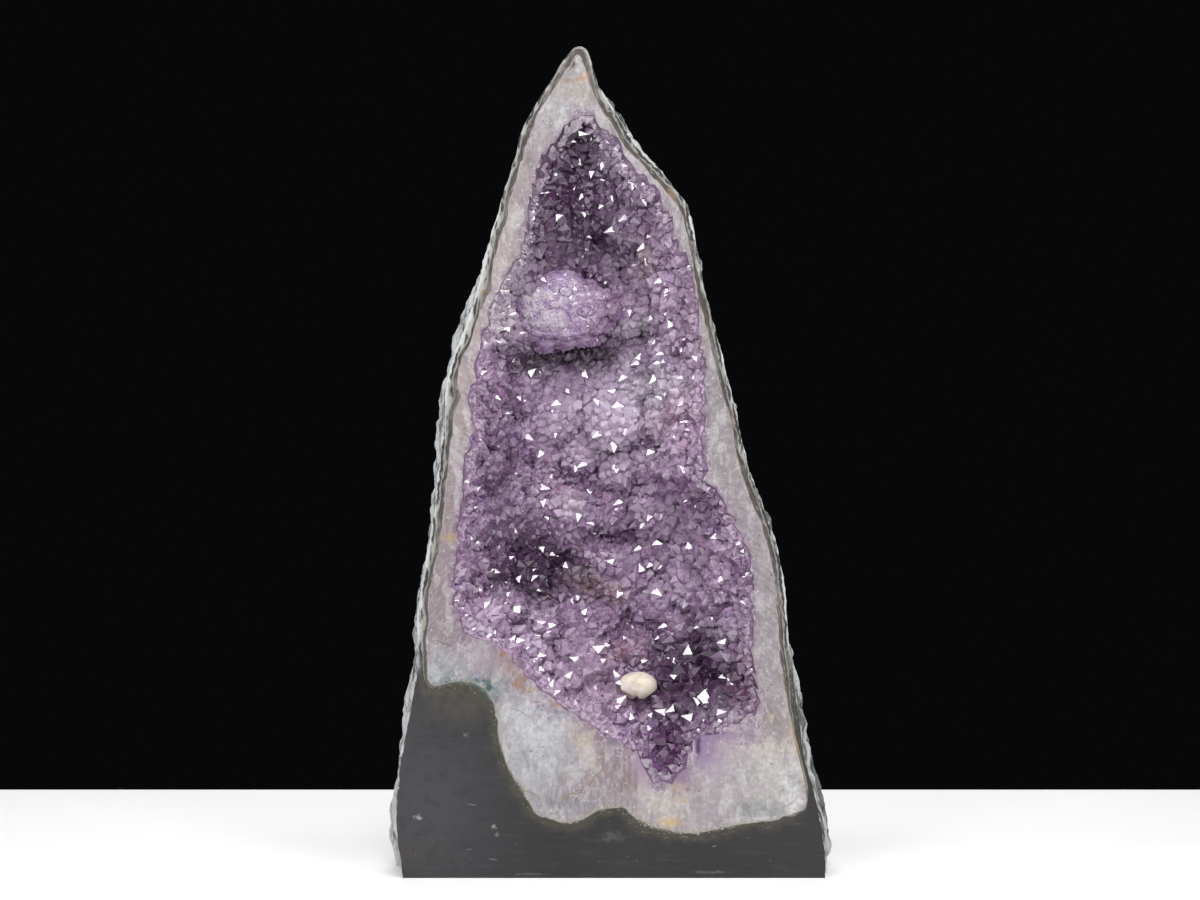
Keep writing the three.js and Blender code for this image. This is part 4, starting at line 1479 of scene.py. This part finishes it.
def amethystColour(place):
    tone = amethyst
    colour = blended(clouds(place, 62, 0.4, 0.62, 4), tone["middle"], tone["deep"], 0.55)
    colour = layered(colour, [
        (clouds(place, 90, 0.54, 0.68), tone["pale"], 0.5),
        (clouds(place, 48, 0.56, 0.68, 2), tone["pink"], 0.4),
        (clouds(place, 75, 0.52, 0.68, 4), tone["violet"], 0.55),
    ])
    # the shade patches are painted shade: in the hole under the roof, under the knob, in the recesses and
    # in the low hollow on the right
    return blots(place, colour, [
        (-18, 352, 44, 66, tone["deep"], 0.95, 0.7), (-20, 378, 20, 22, tone["shade"], 0.8, 0.8),
        (12, 330, 26, 34, tone["grey"], 0.2, 0.9), (17, 312, 12, 20, (0.52, 0.42, 0.37), 0.6, 1.1),
        (14, 278, 15, 15, (0.58, 0.55, 0.58), 0.7, 1.1), (-50, 314, 24, 50, (0.6, 0.56, 0.6), 0.9, 1.2),
        (-55, 284, 16, 30, (0.58, 0.53, 0.56), 0.8, 1.3), (-40, 350, 12, 26, (0.58, 0.5, 0.6), 0.7, 1.3),
        (-4, 366, 14, 26, (0.56, 0.46, 0.6), 0.8, 1.3), (12, 350, 14, 24, (0.52, 0.4, 0.56), 0.6, 1.3),
        (-54, 200, 24, 84, tone["deep"], 0.6, 0.8), (-20, 226, 24, 26, tone["middle"], 0.5, 0.9),
        (6, 236, 62, 44, tone["pale"], 0.95, 0.7), (22, 243, 28, 26, (0.7, 0.66, 0.72), 0.7, 0.9),
        (-19, 187, 15, 12, (0.7, 0.6, 0.69), 0.9, 1.1), (-18, 265, 44, 14, tone["shade"], 0.98, 0.9),
        (-40, 262, 18, 13, tone["shade"], 0.8, 1.0), (-38, 155, 21, 18, tone["shade"], 0.8, 0.9),
        (-48, 162, 26, 26, tone["deep"], 0.6, 1.0), (10, 186, 40, 16, tone["deep"], 0.4, 1.2),
        (-8, 144, 13, 12, tone["rust"], 0.85, 1.6), (-35, 139, 8, 8, tone["rust"], 0.8, 1.8),
        (-16, 150, 18, 15, (0.12, 0.065, 0.06), 0.6, 1.3), (5, 142, 11, 10, (0.36, 0.24, 0.15), 0.5, 1.6),
        (34, 232, 24, 20, (0.46, 0.22, 0.35), 0.6, 1.1), (38, 285, 16, 36, (0.46, 0.28, 0.38), 0.55, 1.0),
        (50, 196, 24, 24, tone["deep"], 0.6, 0.9), (72, 105, 13, 26, (0.24, 0.095, 0.18), 0.75, 1.2),
        (-6, 96, 44, 38, (0.38, 0.235, 0.36), 0.7, 0.8), (46, 98, 32, 32, tone["shade"], 0.93, 0.8),
        (62, 122, 15, 16, (0.42, 0.35, 0.45), 0.7, 1.0), (26, 112, 13, 12, tone["deep"], 0.7, 0.9),
        (57, 86, 12, 14, (0.4, 0.38, 0.45), 0.75, 0.9), (8, 112, 13, 8, (0.36, 0.14, 0.15), 0.6, 1.4),
        (32, 60, 20, 24, (0.2, 0.08, 0.24), 0.85, 0.9), (-5, 100, 4, 4, (0.36, 0.12, 0.04), 0.8, 1.4),
        (-52, 107, 12, 7, (0.42, 0.2, 0.12), 0.35, 2.2), (-62, 126, 18, 13, (0.56, 0.42, 0.54), 0.5, 1.2),
    ])


def amethystDarkAndShade(place, colour):
    # the darker places, laid over the finished colour: painted shade in the hole and under the roof, in the
    # hollows and recesses and under the knob, with some darker amethyst
    tone = amethyst
    dusk, plum = (0.05, 0.019, 0.054), (0.095, 0.038, 0.105)
    return blots(place, colour, [
        (-22, 352, 62, 104, dusk, 0.92, 0.9), (16, 334, 30, 50, plum, 0.5, 1.1),
        (-20, 380, 22, 24, (0.01, 0.003, 0.012), 1.0, 0.7), (-20, 265, 46, 13, tone["shade"], 0.65, 0.9),
        (-40, 262, 16, 12, tone["shade"], 0.5, 1.1), (-38, 155, 34, 28, dusk, 0.95, 1.0),
        (-54, 200, 18, 80, plum, 0.45, 1.0), (-48, 170, 24, 30, plum, 0.35, 1.1),
        (46, 99, 44, 42, (0.048, 0.015, 0.05), 0.95, 0.9), (50, 190, 22, 26, plum, 0.45, 1.0),
        (32, 60, 24, 34, (0.09, 0.027, 0.095), 0.85, 0.9),
        (-14, 148, 16, 10, (0.05, 0.022, 0.015), 0.5, 1.5), (10, 172, 40, 12, plum, 0.4, 1.3),
        (66, 150, 12, 20, plum, 0.35, 1.2), (20, 255, 12, 10, dusk, 0.4, 1.2),
        (68, 104, 14, 34, (0.1, 0.028, 0.075), 0.5, 1.1), (26, 114, 12, 10, dusk, 0.5, 1.1),
        (-8, 96, 30, 16, (0.16, 0.08, 0.15), 0.35, 1.3), (40, 292, 12, 44, plum, 0.35, 1.2),
    ])


def makeAmethystFinish():
    material, shader, place = startFinish("amethystFinish", {
        "IOR": 1.545, "Transmission Weight": 0.22, "Coat Weight": 0.35, "Coat Roughness": 0.03})
    colour = amethystColour(place)
    tint = ownValue(place, "tint")
    colour = layered(colour, [
        (eased(tint, 0.62, 1.0), amethyst["pale"], 0.4),
        (eased(tint, 0.3, 0.0), amethyst["deep"], 0.5),
        (eased(ownValue(place, "clump"), 0.55, 1.0), amethyst["pale"], 0.35),
        (clouds(place, 420, 0.42, 0.62), amethyst["pale"], 0.28),
        (clouds(place, 330, 0.54, 0.68), amethyst["deep"], 0.45),
    ])
    # painted shade down between the points and between the clumps, less of it at the rim
    nearSaw = spread(eased(axisOf(place, 1), front + 0.001, front + 0.009), 0.35, 1.0)
    colour = layered(colour, [
        (times(eased(ownValue(place, "tip"), 0.62, 0.3), nearSaw), amethyst["shade"], 0.75),
        (eased(ownValue(place, "high"), 0.75, 0.0), amethyst["deep"], 0.55),
    ])
    # pale facet edges
    share = nodeWith("SeparateXYZ", {0: ownVector(place, "facet")}).outputs
    nearest = maths("MINIMUM", share[0], maths("MINIMUM", share[1], share[2]))
    edge = times(eased(nearest, 0.075, 0.015), clouds(place, 260, 0.38, 0.6))
    colour = blended(edge, colour, (0.62, 0.55, 0.64), 0.6)
    colour = amethystDarkAndShade(place, colour)
    # points that the saw cut through: cloudy, with zones of colour
    sawn = eased(axisOf(place, 1), front + 0.0014, front + 0.0009)
    zones = clouds(place, 380, 0.42, 0.6, 5)
    cutTone = blended(zones, (0.2, 0.11, 0.21), (0.5, 0.43, 0.49))
    cutTone = blended(clouds(place, 140, 0.5, 0.62, 4), cutTone, (0.085, 0.035, 0.1), 0.7)
    outline = times(seams(place, 330, 0.004, 0.09), clouds(place, 170, 0.42, 0.56))
    cutTone = blended(outline, cutTone, (0.64, 0.58, 0.64), 0.75)
    cutTone = blots(place, cutTone, [(-29, 376, 15, 26, (0.5, 0.455, 0.495), 0.8, 1.2)])
    colour = layered(colour, [
        (sawn, cutTone, 0.72),
        (edge, (0.62, 0.55, 0.64), 0.14),
    ])
    feeds(shader, {"Base Color": colour, "Roughness": spread(clouds(place, 150, 0.45, 0.7), 0.04, 0.14)})
    return material


def makeBedFinish():
    material, shader, place = startFinish("bedFinish", {"IOR": 1.545, "Coat Weight": 0.2})
    colour = amethystColour(place)
    grains = cellsOf(place, 420)
    # painted shade on the bed under the points: patchy over its grains, and deepest low between the clumps
    colour = layered(colour, [
        (eased(grains, 0.6, 0.0), amethyst["shade"], 0.65),
        (eased(ownValue(place, "high"), 0.8, 0.1), amethyst["shade"], 0.6),
    ])
    colour = amethystDarkAndShade(place, colour)
    feeds(shader, {"Base Color": colour, "Roughness": spread(grains, 0.45, 0.22)})
    bumped(shader, grains, 0.6, 0.001)
    return material


def makeKnobFinish(name, pointed):
    material, shader, place = startFinish(name, {
        "IOR": 1.545, "Coat Weight": 0.3, "Coat Roughness": 0.06})
    middle = Vector(knob["middle"])
    x, z = axisOf(place, 0), axisOf(place, 2)
    centred = vectorMaths("SUBTRACT", place, (middle.x - 0.005, front, middle.z - 0.001))
    centred = vectorMaths("DIVIDE", centred, (0.027, 1.0, 0.0215))
    rim = plus(vectorMaths("LENGTH", centred), times(noise(place, 160, 4), 0.5))
    colour = blended(eased(rim, 0.5, 1.15), (0.44, 0.37, 0.43), (0.29, 0.175, 0.325))
    colour = blended(clouds(place, 110, 0.48, 0.62, 4), colour, (0.46, 0.42, 0.44), 0.5)
    if not pointed:
        # painted shade towards the creases between the balls and deepest in them, with pale lines along
        # them
        joint = wavered(ownValue(place, "joint"), place, 420, 3, 0.05)
        broken = clouds(place, 230, 0.44, 0.58)
        colour = blended(eased(joint, 0.11, 0.04), colour, (0.25, 0.145, 0.3), 0.5)
        line = times(eased(joint, 0.018, 0.028), eased(joint, 0.062, 0.042))
        colour = blended(times(line, broken), colour, (0.62, 0.53, 0.62), 0.75)
        second = times(eased(joint, 0.09, 0.104), eased(joint, 0.14, 0.12))
        second = times(second, eased(z, middle.z - 0.003, middle.z - 0.009))
        colour = layered(colour, [
            (times(second, broken), (0.6, 0.52, 0.61), 0.65),
            (eased(joint, 0.016, 0.002), (0.13, 0.055, 0.17), 0.75),
        ])
    colour = layered(colour, [
        (clouds(place, 260, 0.52, 0.64, 5), (0.17, 0.09, 0.27), 0.5),
        (clouds(place, 520, 0.5, 0.64, 4), (0.6, 0.55, 0.6), 0.35),
        (clouds(place, 700, 0.54, 0.66, 4), (0.14, 0.08, 0.19), 0.35),
        (eased(x, middle.x + 0.004, middle.x + 0.026), (0.27, 0.165, 0.26), 0.5),
        (eased(z, middle.z - 0.006, middle.z - 0.019), (0.22, 0.115, 0.25), 0.4),
    ])
    colour = blots(place, colour, [
        (-34, 300, 14, 4, (0.17, 0.085, 0.27), 0.6, 2.2), (-18, 304, 16, 3, (0.17, 0.09, 0.26), 0.45, 2.2),
        (-43, 290, 7, 3, (0.17, 0.085, 0.25), 0.5, 2.2), (-46, 286, 5, 12, (0.22, 0.115, 0.24), 0.7, 1.4),
    ])
    feeds(shader, {"Base Color": colour, "Roughness": spread(clouds(place, 240), 0.1, 0.36)})
    height = plus(gritOf(place, 420, 1500, 0.4), cellsOf(place, 620))
    bumped(shader, height, 0.0 if pointed else 0.8, 0.0013)
    return material


def makeCalciteFinish():
    material, shader, place = startFinish("calciteFinish", {"Coat Weight": 0.15})
    colour = blended(clouds(place, 260, 0.4, 0.62, 4), (0.72, 0.62, 0.5), (0.78, 0.72, 0.65))
    colour = layered(colour, [
        (seams(place, 240, 0.002, 0.04), (0.55, 0.46, 0.37), 0.35),
        (specks(place, 420, 0.05, 0.3), (0.35, 0.26, 0.2), 0.6),
    ])
    feeds(shader, {"Base Color": colour, "Roughness": spread(clouds(place, 600), 0.38, 0.6)})
    bumped(shader, gritOf(place, 500, 1700, 0.5), 0.35, 0.0006)
    return material


def makeFloorFinish():
    material, shader, place = startFinish("floorFinish", {})
    mist = clouds(place, 3, 0.2, 0.8)
    tone = blended(mist, (0.92, 0.92, 0.92), (0.94, 0.94, 0.94))
    feeds(shader, {"Base Color": tone, "Roughness": spread(mist, 0.55, 0.62)})
    return material


amethystFinish = makeAmethystFinish()
floor.data.materials.append(makeFloorFinish())
print("finishes made")

finishPiece(stone, "basalt_matrix", makeBasaltFinish())
finishPiece(agateBand, "agate_band", makeAgateFinish())
finishPiece(quartzBand, "milky_quartz", makeQuartzFinish())
finishPiece(druseBed, "amethyst_druse", makeBedFinish())
finishPiece(amethystPoints, "amethyst_druse", amethystFinish)
finishPiece(druseKnob, "amethyst_druse", makeKnobFinish("knobFinish", False))
finishPiece(knobPoints, "amethyst_druse", makeKnobFinish("frillFinish", True))
finishPiece(calciteCrystal, "calcite_crystal", makeCalciteFinish())
